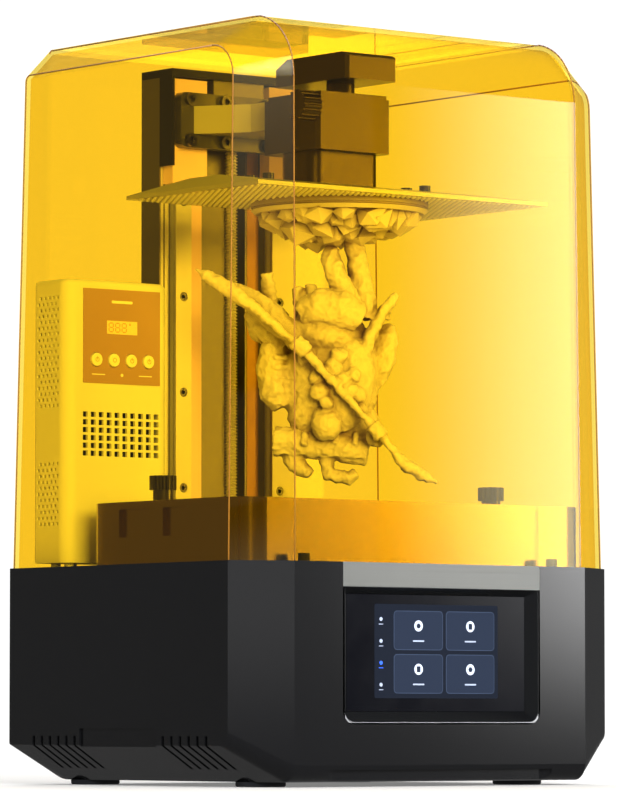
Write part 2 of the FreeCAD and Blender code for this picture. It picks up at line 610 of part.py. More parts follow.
def make_electronics():
    floor_top = "foot_height + wall + plate_thick"
    right = "board_x + board_width"
    rear = "board_front + board_long"
    board = block("board_plate", ("board_x", right), ("board_front", rear),
                  ("board_low", "board_low + board_thick"))
    top = "board_low + board_thick"
    chips = [("12", "30", "40", "58", "2"), ("8", "44", "72", "90", "8"), ("2", "10", "20", "56", "10"),
             ("36", "48", "96", "116", "7"), ("14", "22", "8", "24", "5")]
    pieces = [board]
    for x0, x1, y0, y1, high in chips:
        pieces.append(block("chip", ("board_x + " + x0, "board_x + " + x1),
                            ("board_front + " + y0, "board_front + " + y1), (top, top + " + " + high)))
    for x in ("board_x + 5", right + " - 5"):
        for y in ("board_front + 5", rear + " - 5"):
            pieces.append(rod("standoff", "standoff_radius", "board_low - (%s)" % floor_top, x, y, floor_top))
    keep(fuse("mainboard", pieces))
    supply = body("power_supply")
    pad(supply, rectangle(supply, "XY_Plane", ("supply_x", "supply_x + supply_width"),
                          ("board_front", "board_front + supply_long"), floor_top), "supply_high")
    slot = rectangle(supply, "XY_Plane", ("supply_x + 8", "supply_x + supply_width - 8"),
                     ("board_front + 10", "board_front + 13"), floor_top + " + supply_high")
    repeated(supply, pocket(supply, slot, "1"), "Y_Axis", "84", "13")
    keep(supply)
    rear_face = "body_depth / 2"
    housing = block("inlet_box", ("inlet_x", "inlet_x + inlet_wide"),
                    (rear_face + " - inlet_deep", rear_face),
                    ("inlet_low", "inlet_low + inlet_high"))
    socket = block("socket_room", ("inlet_x + 3", "inlet_x + 3 + socket_wide"),
                   (rear_face + " - inlet_deep + 3", rear_face + " + 1"),
                   ("inlet_low + 3", "inlet_low + inlet_high - 3"))
    rocker_room = block("rocker_hole",
                        ("rocker_x - rocker_half - rocker_room", "rocker_x + rocker_half + rocker_room"),
                        (rear_face + " - inlet_deep + 2", rear_face + " + 1"),
                        ("rocker_z - rocker_tall - 1.5", "rocker_z + rocker_tall + 1.5"))
    shell = cut("inlet_shell", housing, [socket, rocker_room])
    pins = []
    for x, z in (("9", "12.5"), ("21", "12.5"), ("15", "7.5")):
        pins.append(block("inlet_pin", ("inlet_x + " + x + " - 2", "inlet_x + " + x + " + 2"),
                          (rear_face + " - inlet_deep + 3", rear_face + " - 4"),
                          ("inlet_low + " + z + " - 1", "inlet_low + " + z + " + 1")))
    keep(fuse("power_inlet", [shell] + pins))
    rocker = body("power_rocker")
    # a shallow V, so that its lower half is pressed in at rest and its upper half stands out
    points = [("rocker_y - 3", "rocker_z - 6"), ("rocker_y + 3.5", "rocker_z - rocker_tall"),
              ("rocker_y + 3.5", "rocker_z"), ("rocker_y + 5.7", "rocker_z + rocker_tall"),
              ("rocker_y - 3", "rocker_z + 6")]
    pad(rocker, polygon(rocker, "YZ_Plane", points, "rocker_x - rocker_half"), "2 * rocker_half")
    pad(rocker,
        circle(rocker, "YZ_Plane", ("rocker_y", "rocker_z"), "rocker_pin", "rocker_x - rocker_half - 0.5"),
        "2 * rocker_half + 1")
    keep(rocker)
    usb = block("usb_can", ("body_width / 2 - usb_deep", "body_width / 2"),
                ("usb_y - usb_wide / 2", "usb_y + usb_wide / 2"), ("usb_z - usb_high / 2",
                                                                   "usb_z + usb_high / 2"))
    mouth = block("usb_mouth", ("body_width / 2 - usb_deep + 3", "body_width / 2 + 1"),
                  ("usb_y - usb_wide / 2 + 0.6", "usb_y + usb_wide / 2 - 0.6"),
                  ("usb_z - usb_high / 2 + 0.6", "usb_z + usb_high / 2 - 0.6"))
    tongue = block("usb_tongue", ("body_width / 2 - usb_deep + 2", "body_width / 2 - 2"),
                   ("usb_y - usb_wide / 2 + 1", "usb_y + usb_wide / 2 - 1"), ("usb_z", "usb_z + 1.6"))
    keep(fuse("usb_port", [cut("usb_shell", usb, [mouth]), tongue]))


# ---------------------------------------------------------------- tower, rails and lead screw

def make_tower():
    tower = body("tower")
    lip = "tower_half - tower_lip"
    half = [("tower_half", "tower_front"), (lip, "tower_front"), (lip, "rail_floor"),
            ("channel_half", "rail_floor"), ("channel_half", "channel_rear")]
    left = [("-(%s)" % x, y) for x, y in half]
    points = [("-tower_half", "tower_rear"), ("tower_half", "tower_rear")] + half + left[::-1]
    pad(tower, polygon(tower, "XY_Plane", points, "split_height"), "tower_top - split_height")
    keep(tower)
    cap = block("hood_cap", ("-tower_half", "tower_half"), ("hood_front", "tower_rear"),
                ("tower_top", "tower_top + cap_thick"))
    cheek = block("hood_cheek", ("tower_half - hood_wall", "tower_half"), ("hood_front", "tower_front"),
                  ("hood_low", "tower_top"))
    keep(fuse("tower_hood", [cap, cheek, mirrored("hood_cheek_left", cheek)]))
    bearing = block("bearing_body", ("-bearing_half", "bearing_half"), ("bearing_front", "rail_floor"),
                    ("bearing_low", "tower_top"))
    bore = rod("bearing_bore", "screw_radius + screw_room", "tower_top - bearing_low", "0", "screw_y",
               "bearing_low")
    keep(cut("top_bearing", bearing, [bore]))
    keep(block("home_sensor", ("sensor_x", "sensor_x + sensor_wide"),
               ("rail_floor - sensor_deep", "rail_floor"),
               ("sensor_low", "sensor_low + sensor_high")))


def make_rails():
    rail = body("rail_right")
    x0, x1 = "rail_x - rail_half", "rail_x + rail_half"
    middle = "(rail_front + rail_floor) / 2"
    near, far = middle + " - 2", middle + " + 2"
    points = [(x0, "rail_front"), (x1, "rail_front"), (x1, near), (x1 + " - rail_groove", middle), (x1, far),
              (x1, "rail_floor"), (x0, "rail_floor"), (x0, far), (x0 + " + rail_groove", middle), (x0, near)]
    pad(rail, polygon(rail, "XY_Plane", points, "rail_low"), "rail_high - rail_low")
    hole = circle(rail, "XZ_Plane", ("rail_x", "rail_screw_low"), "rail_hole_radius", "-rail_front")
    row = "rail_screw_pitch * (rail_screw_count - 1)"
    repeated(rail, pocket(rail, hole, "rail_floor - rail_front"), "Z_Axis", row, "rail_screw_count")
    keep(group("linear_rails", [rail, mirrored("rail_left", rail)]))
    screws = []
    for side in ("-rail_x", "rail_x"):
        for i in range(int(dim("rail_screw_count"))):
            height = "rail_screw_low + rail_screw_pitch * %d" % i
            head = rod("rail_screw_head", "rail_screw_radius", "rail_floor - rail_front - rail_screw_sunk",
                       side, "rail_front + rail_screw_sunk", height, "y")
            key = rod("rail_screw_key", "rail_screw_radius / 2", "2", side, "rail_front + rail_screw_sunk",
                      height, "y")
            screws.append(cut("rail_screw", head, [key]))
    keep(group("rail_screws", screws))


def make_drive():
    motor = block("motor_can", ("-motor_half", "motor_half"),
                  ("screw_y - motor_half", "screw_y + motor_half"),
                  ("motor_low", "split_height - deck_thick"))
    boss = rod("motor_boss", "motor_boss_radius", "motor_boss_high", "0", "screw_y",
               "split_height - deck_thick")
    bore = rod("motor_bore", "screw_radius + screw_room", "40", "0", "screw_y", "screw_low - 1")
    keep(cut("z_motor", fuse("motor_body", [motor, boss]), [bore]))
    keep(rod("lead_screw", "screw_radius", "screw_high - screw_low", "0", "screw_y", "screw_low"))


# ---------------------------------------------------------------- carriage and arm

def make_carriage():
    blocks = []
    for side, x in (("right", "rail_x"), ("left", "-rail_x")):
        for i in range(2):
            low = "block_low + block_step * %d" % i
            high = low + " + block_tall"
            whole = block("guide_whole", (x + " - block_half", x + " + block_half"),
                          ("block_front", "block_rear"), (low, high))
            slot = block("guide_slot", (x + " - rail_half - block_room", x + " + rail_half + block_room"),
                         ("rail_front - block_room", "block_rear + 1"), (low + " - 1", high + " + 1"))
            blocks.append(cut("guide_%s_%d" % (side, i), whole, [slot]))
    keep(group("guide_blocks", blocks))
    plate = body("carriage_plate")
    pad(plate, rectangle(plate, "XZ_Plane", ("-carriage_half", "carriage_half"),
                         ("carriage_low", "carriage_high"), "-block_front"), "block_front - carriage_front")
    dressed(plate, "Fillet", "carriage_round", lambda edge: along_axis(edge, Vector(0, 1, 0)))
    places = [(x, z) for x in ("-cap_screw_x2", "-cap_screw_x1", "cap_screw_x1", "cap_screw_x2")
              for z in ("cap_screw_z1", "cap_screw_z2")]
    screws = []
    for x, z in places:
        hole = circle(plate, "XZ_Plane", (x, z), "cap_screw_hole", "-carriage_front")
        pocket(plate, hole, "block_front - carriage_front")
        head = rod("cap_head", "cap_screw_radius", "cap_screw_head", x, "carriage_front - cap_screw_head", z,
                   "y")
        shank = rod("cap_shank", "cap_screw_shank", "block_front - carriage_front", x, "carriage_front", z,
                    "y")
        key = rod("cap_key", "cap_screw_radius / 2", "2", x, "carriage_front - cap_screw_head", z, "y")
        screws.append(cut("cap_screw", fuse("cap_whole", [head, shank]), [key]))
    keep(plate)
    keep(group("carriage_screws", screws))
    nut = block("nut_body", ("-nut_half", "nut_half"), ("block_front", "nut_rear"), ("nut_low", "nut_high"))
    bore = rod("nut_bore", "screw_radius + screw_room", "nut_high - nut_low", "0", "screw_y", "nut_low")
    keep(cut("lead_nut", nut, [bore]))
    arm = body("arm")
    outer = [("arm_root_half", "carriage_front"), ("arm_tip_half", "arm_bend_y"),
             ("arm_tip_half", "arm_end_y")]
    left = [("-" + x, y) for x, y in outer]
    pad(arm, polygon(arm, "XY_Plane", outer + left[::-1], "arm_low"), "arm_high - arm_low")
    pad(arm, rectangle(arm, "XY_Plane", ("-tongue_half", "tongue_half"), ("tongue_end_y", "arm_end_y + 2"),
                       "arm_low"), "tongue_high - arm_low")
    keep(arm)


# ---------------------------------------------------------------- platform

def make_platform():
    head = body("head_block")
    pad(head,
        rectangle(head, "XY_Plane", ("-head_half", "head_half"), ("head_front", "head_rear"), "head_low"),
        "head_high - head_low")
    dressed(head, "Chamfer", "head_edge", is_upright)
    slot = rectangle(head, "XY_Plane", ("-tongue_half - slot_room", "tongue_half + slot_room"),
                     ("tongue_end_y - slot_room", "head_rear + 5"), "head_high")
    pocket(head, slot, "head_high - arm_low + slot_room")
    hole = circle(head, "YZ_Plane", ("knob_y", "knob_z"), "knob_shank_radius + knob_room", "-head_half")
    pocket(head, hole, "knob_shank_long + 1", True)
    keep(head)
    plate = block("clamp_whole", ("-clamp_half", "clamp_half"), ("clamp_front", "clamp_rear"),
                  ("head_high", "head_high + clamp_thick"))
    hole = rod("clamp_hole", "pin_radius + pin_room", "clamp_thick", "0", "lever_y", "head_high")
    keep(cut("clamp_plate", plate, [hole]))
    neck = body("ball_neck")
    pad(neck, rectangle(neck, "XY_Plane", ("-neck_half", "neck_half"), ("neck_front", "neck_rear"),
                        "platform_high"), "head_low - platform_high")
    dressed(neck, "Fillet", "neck_round", is_upright)
    keep(neck)
    platform = body("build_plate")
    across = ("-platform_half_x", "platform_half_x")
    along = ("vat_y - platform_half_y", "vat_y + platform_half_y")
    pad(platform, rectangle(platform, "XY_Plane", across, along, "platform_low"), "platform_edge")
    roof = platform.newObject("PartDesign::AdditiveLoft", "platform_roof")
    roof.Profile = rectangle(platform, "XY_Plane", across, along, "platform_low + platform_edge")
    roof.Sections = [rectangle(platform, "XY_Plane", ("-ridge_half_x", "ridge_half_x"),
                               ("vat_y - ridge_half_y", "vat_y + ridge_half_y"), "platform_high")]
    roof.Ruled = True
    keep(platform)
    screws = []
    for x in ("-plate_screw_x", "plate_screw_x"):
        for y in ("vat_y - plate_screw_y", "vat_y + plate_screw_y"):
            cap = rod("plate_cap", "plate_screw_radius", "plate_screw_high", x, y, "platform_high")
            key = rod("plate_key", "plate_screw_radius / 2", "2", x, y,
                      "platform_high + plate_screw_high - 2")
            screws.append(cut("plate_screw", cap, [key]))
    keep(group("plate_screws", screws))


def make_side_knob():
    """A fluted knob on the left of the head, with a shank that reaches into a hole there."""
    knob = body("knob_whole")
    face = "-head_half - knob_room"
    pad(knob, circle(knob, "YZ_Plane", ("knob_y", "knob_z"), "knob_radius", "-knob_end"),
        "knob_end - head_half - knob_room")
    flutes = []
    for i in range(int(dim("knob_flutes"))):
        turn = 2 * math.pi * i / dim("knob_flutes")
        flutes.append(rod("knob_flute", "knob_flute", "knob_end", "-knob_end - 1",
                          "knob_y + knob_radius * %.5f" % math.cos(turn),
                          "knob_z + knob_radius * %.5f" % math.sin(turn), "x"))
    shank = rod("knob_shank", "knob_shank_radius", "knob_shank_long + 1", face + " - 1", "knob_y", "knob_z",
                "x")
    keep(fuse("side_knob", [cut("knob_grip", knob, flutes), shank]))


def make_lever():
    lever = body("clamp_lever")
    points = [("lever_front", "lever_low"), ("lever_front", "lever_high - lever_nose / 2"),
              ("lever_front + lever_nose", "lever_high"), ("lever_rear - lever_tail", "lever_high"),
              ("lever_rear", "lever_high - lever_tail / 2"), ("lever_rear", "lever_low")]
    pad(lever, polygon(lever, "YZ_Plane", points, "-lever_half"), "2 * lever_half")
    dressed(lever, "Chamfer", "lever_side_edge", lambda edge: is_upright(edge))
    pad(lever,
        circle(lever, "XY_Plane", ("0", "lever_y"), "stem_radius", "head_high + clamp_thick + pin_room"),
        "lever_low - head_high - clamp_thick - pin_room + 1")
    pad(lever, circle(lever, "XY_Plane", ("0", "lever_y"), "pin_radius", "pin_end"),
        "head_high + clamp_thick + 1 - pin_end")
    keep(lever)


# ---------------------------------------------------------------- vat

def make_vat():
    vat = body("vat_body")
    pad(vat, rectangle(vat, "XY_Plane", ("-vat_half_x", "vat_half_x"),
                       ("vat_y - vat_half_y", "vat_y + vat_half_y"),
                       "split_height"), "vat_high - split_height")
    dressed(vat, "Fillet", "vat_round", is_upright)
    tray = rectangle(vat, "XY_Plane", ("-tray_half_x", "tray_half_x"),
                     ("vat_y - tray_half_y", "vat_y + tray_half_y"),
                     "vat_high")
    pocket(vat, tray, "vat_high - split_height")
    dressed(vat, "Fillet", "tray_round",
            lambda edge: is_upright(edge) and abs(edge.CenterOfMass.x) < dim("tray_half_x") + 1
            and abs(edge.CenterOfMass.y - dim("vat_y")) < dim("tray_half_y") + 1)
    under = rectangle(vat, "XY_Plane", ("-under_half_x", "under_half_x"),
                      ("vat_y - under_half_y", "vat_y + under_half_y"), "split_height")
    pocket(vat, under, "under_high - split_height", reverse=True)
    for front, rear in (("pocket_a_front", "pocket_a_rear"), ("pocket_b_front", "pocket_b_rear")):
        for offset, reverse in (("vat_half_x", False), ("-vat_half_x", True)):
            window = rectangle(vat, "YZ_Plane", (front, rear), ("pocket_low", "pocket_high"), offset)
            pocket(vat, window, "pocket_deep", reverse)
    for x in ("-thumb_x", "thumb_x"):
        pocket(vat, circle(vat, "XY_Plane", (x, "thumb_y"), "thumb_hole_radius", "vat_high"),
               "vat_high - split_height")
    keep(vat)
    ring = block("frame_whole", ("-under_half_x + frame_room", "under_half_x - frame_room"),
                 ("vat_y - under_half_y + frame_room", "vat_y + under_half_y - frame_room"),
                 ("frame_low", "under_high"))
    hole = block("frame_hole", ("-tray_half_x", "tray_half_x"),
                 ("vat_y - tray_half_y", "vat_y + tray_half_y"),
                 ("frame_low - 1", "under_high + 1"))
    keep(cut("film_frame", ring, [hole]))
    keep(block("release_film", ("-film_half_x", "film_half_x"),
               ("vat_y - film_half_y", "vat_y + film_half_y"),
               ("frame_low - film_thick", "frame_low")))


def make_thumb_screw(label, x):
    """A fluted head on a plain stem, with a shank that reaches down through the vat into the deck."""
    screw = body(label)
    pad(screw, circle(screw, "XY_Plane", ("0", "0"), "thumb_head_radius", "thumb_head_low"),
        "thumb_head_high - thumb_head_low")
    flute = circle(screw, "XY_Plane", ("thumb_head_radius", "0"), "flute_radius", "thumb_head_high")
    groove = pocket(screw, flute, "thumb_head_high - thumb_head_low")
    ring = screw.newObject("PartDesign::PolarPattern", label + "_flutes")
    ring.Originals = [groove]
    axis = next(part for part in screw.Origin.OriginFeatures if part.Role == "Z_Axis")
    ring.Axis = (axis, [""])
    ring.Angle = 360
    ring.setExpression("Occurrences", bound("flute_count"))
    screw.Tip = ring
    pad(screw, circle(screw, "XY_Plane", ("0", "0"), "thumb_stem_radius", "vat_high + thumb_rise"),
        "thumb_head_low - vat_high - thumb_rise + 1")
    pad(screw, circle(screw, "XY_Plane", ("0", "0"), "thumb_shank_radius", "thumb_shank_low"),
        "vat_high + thumb_rise + 1 - thumb_shank_low")
    place(screw, x, "thumb_y", "0")
    keep(screw)


# ---------------------------------------------------------------- air purifier

def box_grid(size, start, step_a, count_a, step_b, count_b):
    """A compound of equal boxes on a two-way grid."""
    boxes = []
    for i in range(int(count_a)):
        for j in range(int(count_b)):
            boxes.append(Part.makeBox(size.x, size.y, size.z, start + step_a * i + step_b * j))
    return Part.makeCompound(boxes)


def make_purifier_shell():
    shell = body("purifier_box")
    pad(shell, rectangle(shell, "XY_Plane", ("air_left", "air_right"), ("air_front", "air_rear"), "air_low"),
        "air_high - air_low")
    dressed(shell, "Fillet", "air_round",
            lambda edge: is_upright(edge) and edge.CenterOfMass.y < dim("air_front") + 1)
    dressed(shell, "Fillet", "air_top_round",
            lambda edge: edge.BoundBox.ZMin > dim("air_high") - 0.1
            and edge.BoundBox.YMin < dim("air_rear") - 0.5)
    room = rectangle(shell, "XZ_Plane", ("air_left + air_wall", "air_right - air_wall"),
                     ("air_low + air_wall", "air_high - air_wall"), "-air_rear")
    pocket(shell, room, "air_rear - air_front - air_round", reverse=True)
    front_room = rectangle(shell, "XZ_Plane", ("air_left + air_round", "air_right - air_round"),
                           ("air_low + air_wall", "air_high - 2 * air_wall"), "-air_front - air_round")
    pocket(shell, front_room, "air_round - air_wall", reverse=True)
    hole = Vector(dim("grille_hole_x"), 6, dim("grille_hole_z"))
    grille = box_grid(hole, Vector(dim("grille_left"), dim("air_front") - 2, dim("grille_low")),
                      Vector(dim("grille_pitch_x"), 0, 0), dim("grille_columns"),
                      Vector(0, 0, dim("grille_pitch_z")), dim("grille_rows"))
    pore = Vector(6, dim("pore_wide"), dim("pore_tall"))
    tools = [solid_feature("grille_holes", grille)]
    shift = Vector(0, dim("pore_pitch_y") / 2, dim("pore_pitch_z"))
    for low, rows in (("pore_high_low", "pore_high_rows"), ("pore_low_low", "pore_low_rows")):
        start = Vector(dim("air_left") - 2, dim("pore_front"), dim(low))
        for first, count in ((start, (dim(rows) + 1) // 2), (start + shift, dim(rows) // 2)):
            pores = box_grid(pore, first, Vector(0, dim("pore_pitch_y"), 0), dim("pore_columns"),
                             Vector(0, 0, 2 * dim("pore_pitch_z")), count)
            tools.append(solid_feature("pores", pores))
    for i in range(4):
        tools.append(rod("button_hole", "button_radius + button_room", "12",
                         "button_first_x + button_pitch * %d" % i, "air_front - 2", "button_z", "y"))
    hollow = cut("purifier_hollow", shell, tools)
    feet = []
    for x in ("air_left + air_foot_in", "air_right - air_foot_in"):
        for y in ("air_front + air_foot_in", "air_rear - air_foot_in"):
            feet.append(rod("air_foot", "air_foot_radius", "air_low - split_height + 1", x, y,
                            "split_height"))
    keep(fuse("purifier_shell", [hollow] + feet))


def make_purifier_inside():
    keep(block("purifier_back", ("air_left + 1", "air_right - 1"), ("air_rear", "air_rear + air_back_thick"),
               ("air_low + 1", "air_high - 1")))
    fascia = block("fascia_plate", ("fascia_left", "fascia_right"), ("air_front - fascia_thick", "air_front"),
                   ("fascia_low", "fascia_high"))
    holes = [rod("fascia_hole", "button_radius + button_room", "6", "button_first_x + button_pitch * %d" % i,
                 "air_front - 3", "button_z", "y") for i in range(4)]
    keep(cut("purifier_fascia", fascia, holes))
    face = "air_front - fascia_thick"
    keep(block("purifier_display", ("digits_left", "digits_right"), (face + " - digits_thick", face),
               ("digits_low", "digits_high")))
    for i, name in enumerate(("heat", "timer", "speed", "power")):
        x = "button_first_x + button_pitch * %d" % i
        button = body("button_" + name)
        pad(button, circle(button, "XZ_Plane", (x, "button_z"), "button_radius",
                           "-(%s - button_out + button_long)" % face), "button_long")
        dressed(button, "Fillet", "0.6", lambda edge: edge.BoundBox.YMax < dim("air_front") - 1)
        keep(button)
    spider = dim("fan_spider")
    frame = keep(solid_feature("purifier_fan_frame", fan_frame_shape(
        dim("air_fan_size"), dim("air_fan_deep"), dim("air_fan_bore"), dim("air_fan_hub"), spider)))
    rotor = keep(solid_feature("purifier_fan_rotor", fan_rotor_shape(
        dim("air_fan_hub"), dim("air_fan_radius"), dim("air_fan_deep") - spider - 2, dim("fan_blades"))))
    towards_front = FreeCAD.Rotation(Vector(1, 0, 0), 90)
    back = dim("air_fan_front") + dim("air_fan_deep")
    frame.Placement = FreeCAD.Placement(Vector(dim("air_fan_x"), back, dim("air_fan_z")), towards_front)
    rotor.Placement = FreeCAD.Placement(Vector(dim("air_fan_x"), back - dim("fan_spider") - 0.5,
                                               dim("air_fan_z")),
                                        towards_front)
    middle = dim("air_fan_x")
    low, high = dim("filter_low"), dim("filter_high")
    half, front, rear = dim("filter_half"), dim("filter_front"), dim("filter_rear")
    brick = Part.makeBox(2 * half, rear - front, high - low, Vector(middle - half, front, low))
    pitch, cell = dim("filter_pitch"), dim("filter_cell")
    across = int((2 * half - 2) // pitch)
    upward = int((high - low - 2) // pitch)
    start = Vector(middle - (across * pitch - pitch + cell) / 2, front - 1,
                   (low + high) / 2 - (upward * pitch - pitch + cell) / 2)
    cells = box_grid(Vector(cell, rear - front + 2, cell), start, Vector(pitch, 0, 0), across,
                     Vector(0, 0, pitch), upward)
    keep(solid_feature("carbon_filter", brick.cut(cells)))


# ---------------------------------------------------------------- sample print

def make_print():
    """A plain stand-in of the hung sample: round base, rocks, trunk and a rounded figure."""
    x, y, top = dim("print_x"), dim("vat_y"), dim("platform_low")
    disc_low = top - dim("disc_thick")
    disc = Part.makeCylinder(dim("disc_radius"), dim("disc_thick"), Vector(x, y, disc_low))
    rock_low = disc_low - dim("rock_high")
    rock = Part.makeCone(dim("rock_radius"), dim("disc_radius") - 6, dim("rock_high"), Vector(x, y, rock_low))
    trunk = Part.makeCylinder(dim("trunk_radius"), rock_low - dim("trunk_low") + 1,
                              Vector(x, y, dim("trunk_low")))
    tall = dim("trunk_low") - dim("figure_low")
    figure = Part.makeCylinder(dim("figure_radius"), tall + 1, Vector(x, y, dim("figure_low")))
    keep(solid_feature("sample_print", disc.fuse([rock, trunk, figure]).removeSplitter()))


make_base_shell()
make_floor()
make_deck()
make_front()
make_exposure()
make_electronics()
make_tower()
make_rails()
make_drive()
make_carriage()
make_platform()
make_side_knob()
make_lever()
make_vat()
make_thumb_screw("thumb_screw_left", "-thumb_x")
make_thumb_screw("thumb_screw_right", "thumb_x")
make_purifier_shell()
make_purifier_inside()
make_cover()
make_print()
doc.recompute()

failed = [item.Label for item in doc.Objects if "Invalid" in item.State or "Error" in item.State]
for item in SUBPARTS:
    if item.Shape.isNull() or not item.Shape.isValid():
        failed.append(item.Label + " (shape)")
if failed:
    sys.exit("failed: " + ", ".join(failed))

os.makedirs("parts", exist_ok=True)
for item in SUBPARTS:
    item.Shape.exportStep("parts/%s.step" % item.Label)
    print("%-22s %2d solids %10.0f mm3" % (item.Label, len(item.Shape.Solids), item.Shape.Volume))
print(len(SUBPARTS), "sub-parts")
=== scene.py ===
import json
import math
import random

import bmesh
import bpy
from mathutils import Matrix, Vector, noise


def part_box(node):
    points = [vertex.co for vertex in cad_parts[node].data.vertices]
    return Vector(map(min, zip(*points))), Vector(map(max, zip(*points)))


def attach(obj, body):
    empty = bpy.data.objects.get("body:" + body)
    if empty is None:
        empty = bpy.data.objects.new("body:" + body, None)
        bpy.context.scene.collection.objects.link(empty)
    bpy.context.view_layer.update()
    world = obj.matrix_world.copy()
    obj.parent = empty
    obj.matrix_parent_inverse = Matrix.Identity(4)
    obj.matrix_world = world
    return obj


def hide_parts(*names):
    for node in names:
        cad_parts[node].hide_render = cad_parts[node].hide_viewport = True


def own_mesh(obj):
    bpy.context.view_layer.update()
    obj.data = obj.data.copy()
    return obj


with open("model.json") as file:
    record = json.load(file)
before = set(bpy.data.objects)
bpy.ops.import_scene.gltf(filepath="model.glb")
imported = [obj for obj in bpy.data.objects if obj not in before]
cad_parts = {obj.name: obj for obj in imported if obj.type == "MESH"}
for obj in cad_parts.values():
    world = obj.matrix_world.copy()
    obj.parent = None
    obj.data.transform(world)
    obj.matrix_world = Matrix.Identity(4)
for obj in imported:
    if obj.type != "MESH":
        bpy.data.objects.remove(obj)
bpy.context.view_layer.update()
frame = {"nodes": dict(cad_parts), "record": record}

MM = 0.001
collection = bpy.context.scene.collection


def centre_of(name):
    """The middle of a node's box."""
    box_low, box_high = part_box(name)
    return (box_low + box_high) / 2


# ------------------------------------------------------------------ materials

def material(name, color, rough, metal=0.0, bump=0.0, scale=400.0, stretch=(1, 1, 1), spread=0.06, **extra):
    """A procedural material: noise gives it a fine grain, and spread varies its roughness."""
    made = bpy.data.materials.new(name)
    made.use_nodes = True
    nodes, links = made.node_tree.nodes, made.node_tree.links
    shader = nodes["Principled BSDF"]
    shader.inputs["Base Color"].default_value = (*color, 1)
    shader.inputs["Roughness"].default_value = rough
    shader.inputs["Metallic"].default_value = metal
    for key, value in extra.items():
        shader.inputs[key.replace("_", " ")].default_value = value
    place = nodes.new("ShaderNodeTexCoord")
    mapping = nodes.new("ShaderNodeMapping")
    mapping.inputs["Scale"].default_value = stretch
    grain = nodes.new("ShaderNodeTexNoise")
    grain.inputs["Scale"].default_value = scale
    grain.inputs["Detail"].default_value = 3
    links.new(place.outputs["Object"], mapping.inputs["Vector"])
    links.new(mapping.outputs["Vector"], grain.inputs["Vector"])
    if bump:
        relief = nodes.new("ShaderNodeBump")
        relief.inputs["Strength"].default_value = bump
        relief.inputs["Distance"].default_value = 0.4 * MM
        links.new(grain.outputs["Fac"], relief.inputs["Height"])
        links.new(relief.outputs["Normal"], shader.inputs["Normal"])
    vary = nodes.new("ShaderNodeMapRange")
    vary.inputs["To Min"].default_value = max(0.02, rough - spread)
    vary.inputs["To Max"].default_value = min(1.0, rough + spread)
    links.new(grain.outputs["Fac"], vary.inputs["Value"])
    links.new(vary.outputs["Result"], shader.inputs["Roughness"])
    return made


def clear_sheet(name, tint, rough=0.02):
    """Clear coloured acrylic: each surface filters the light once, and its gloss grows towards grazing."""
    face_on_gloss, grazing_gloss, falloff = 0.03, 0.6, 5.0
    made = bpy.data.materials.new(name)
    made.use_nodes = True
    nodes, links = made.node_tree.nodes, made.node_tree.links
    nodes.remove(nodes["Principled BSDF"])
    out = nodes["Material Output"]
    filter_node = nodes.new("ShaderNodeBsdfTransparent")
    filter_node.inputs["Color"].default_value = (*tint, 1)
    gloss = nodes.new("ShaderNodeBsdfGlossy")
    gloss.inputs["Roughness"].default_value = rough
    facing = nodes.new("ShaderNodeLayerWeight")
    facing.inputs["Blend"].default_value = 0.5
    steep = nodes.new("ShaderNodeMath")
    steep.operation = "POWER"
    steep.inputs[1].default_value = falloff
    share = nodes.new("ShaderNodeMath")
    share.operation = "MULTIPLY_ADD"
    share.inputs[1].default_value = grazing_gloss
    share.inputs[2].default_value = face_on_gloss
    mix = nodes.new("ShaderNodeMixShader")
    links.new(facing.outputs["Facing"], steep.inputs[0])
    links.new(steep.outputs["Value"], share.inputs[0])
    links.new(share.outputs["Value"], mix.inputs["Fac"])
    links.new(filter_node.outputs["BSDF"], mix.inputs[1])
    links.new(gloss.outputs["BSDF"], mix.inputs[2])
    links.new(mix.outputs["Shader"], out.inputs["Surface"])
    return made


def resin_with_painted_shade(name, color, deep, rough):
    """A matt resin, slightly mottled, with painted shade that darkens it towards the deep colour in its
    hollows and creases.
    """
    painted_shade_reach, contrast = 14 * MM, 1.9
    made = material(name, color, rough, bump=0.3, scale=700, spread=0.1)
    nodes, links = made.node_tree.nodes, made.node_tree.links
    # painted shade: ambient occlusion mixes the colour towards the deep shade colour in hollows and creases
    painted_shade = nodes.new("ShaderNodeAmbientOcclusion")
    painted_shade.samples = 8
    painted_shade.inputs["Distance"].default_value = painted_shade_reach
    curve = nodes.new("ShaderNodeMath")
    curve.operation = "POWER"
    curve.inputs[1].default_value = contrast
    mix = nodes.new("ShaderNodeMix")
    mix.data_type = "RGBA"
    mix.inputs["A"].default_value = (*deep, 1)
    mix.inputs["B"].default_value = (*color, 1)
    links.new(painted_shade.outputs["AO"], curve.inputs[0])
    links.new(curve.outputs["Value"], mix.inputs["Factor"])
    links.new(mix.outputs["Result"], nodes["Principled BSDF"].inputs["Base Color"])
    return made


def lit(name, color, strength):
    """A lit part of a display, behind a dull film."""
    made = material(name, color, 0.5, scale=900, Specular_IOR_Level=0.06)
    shader = made.node_tree.nodes["Principled BSDF"]
    shader.inputs["Emission Color"].default_value = (*color, 1)
    shader.inputs["Emission Strength"].default_value = strength
    return made


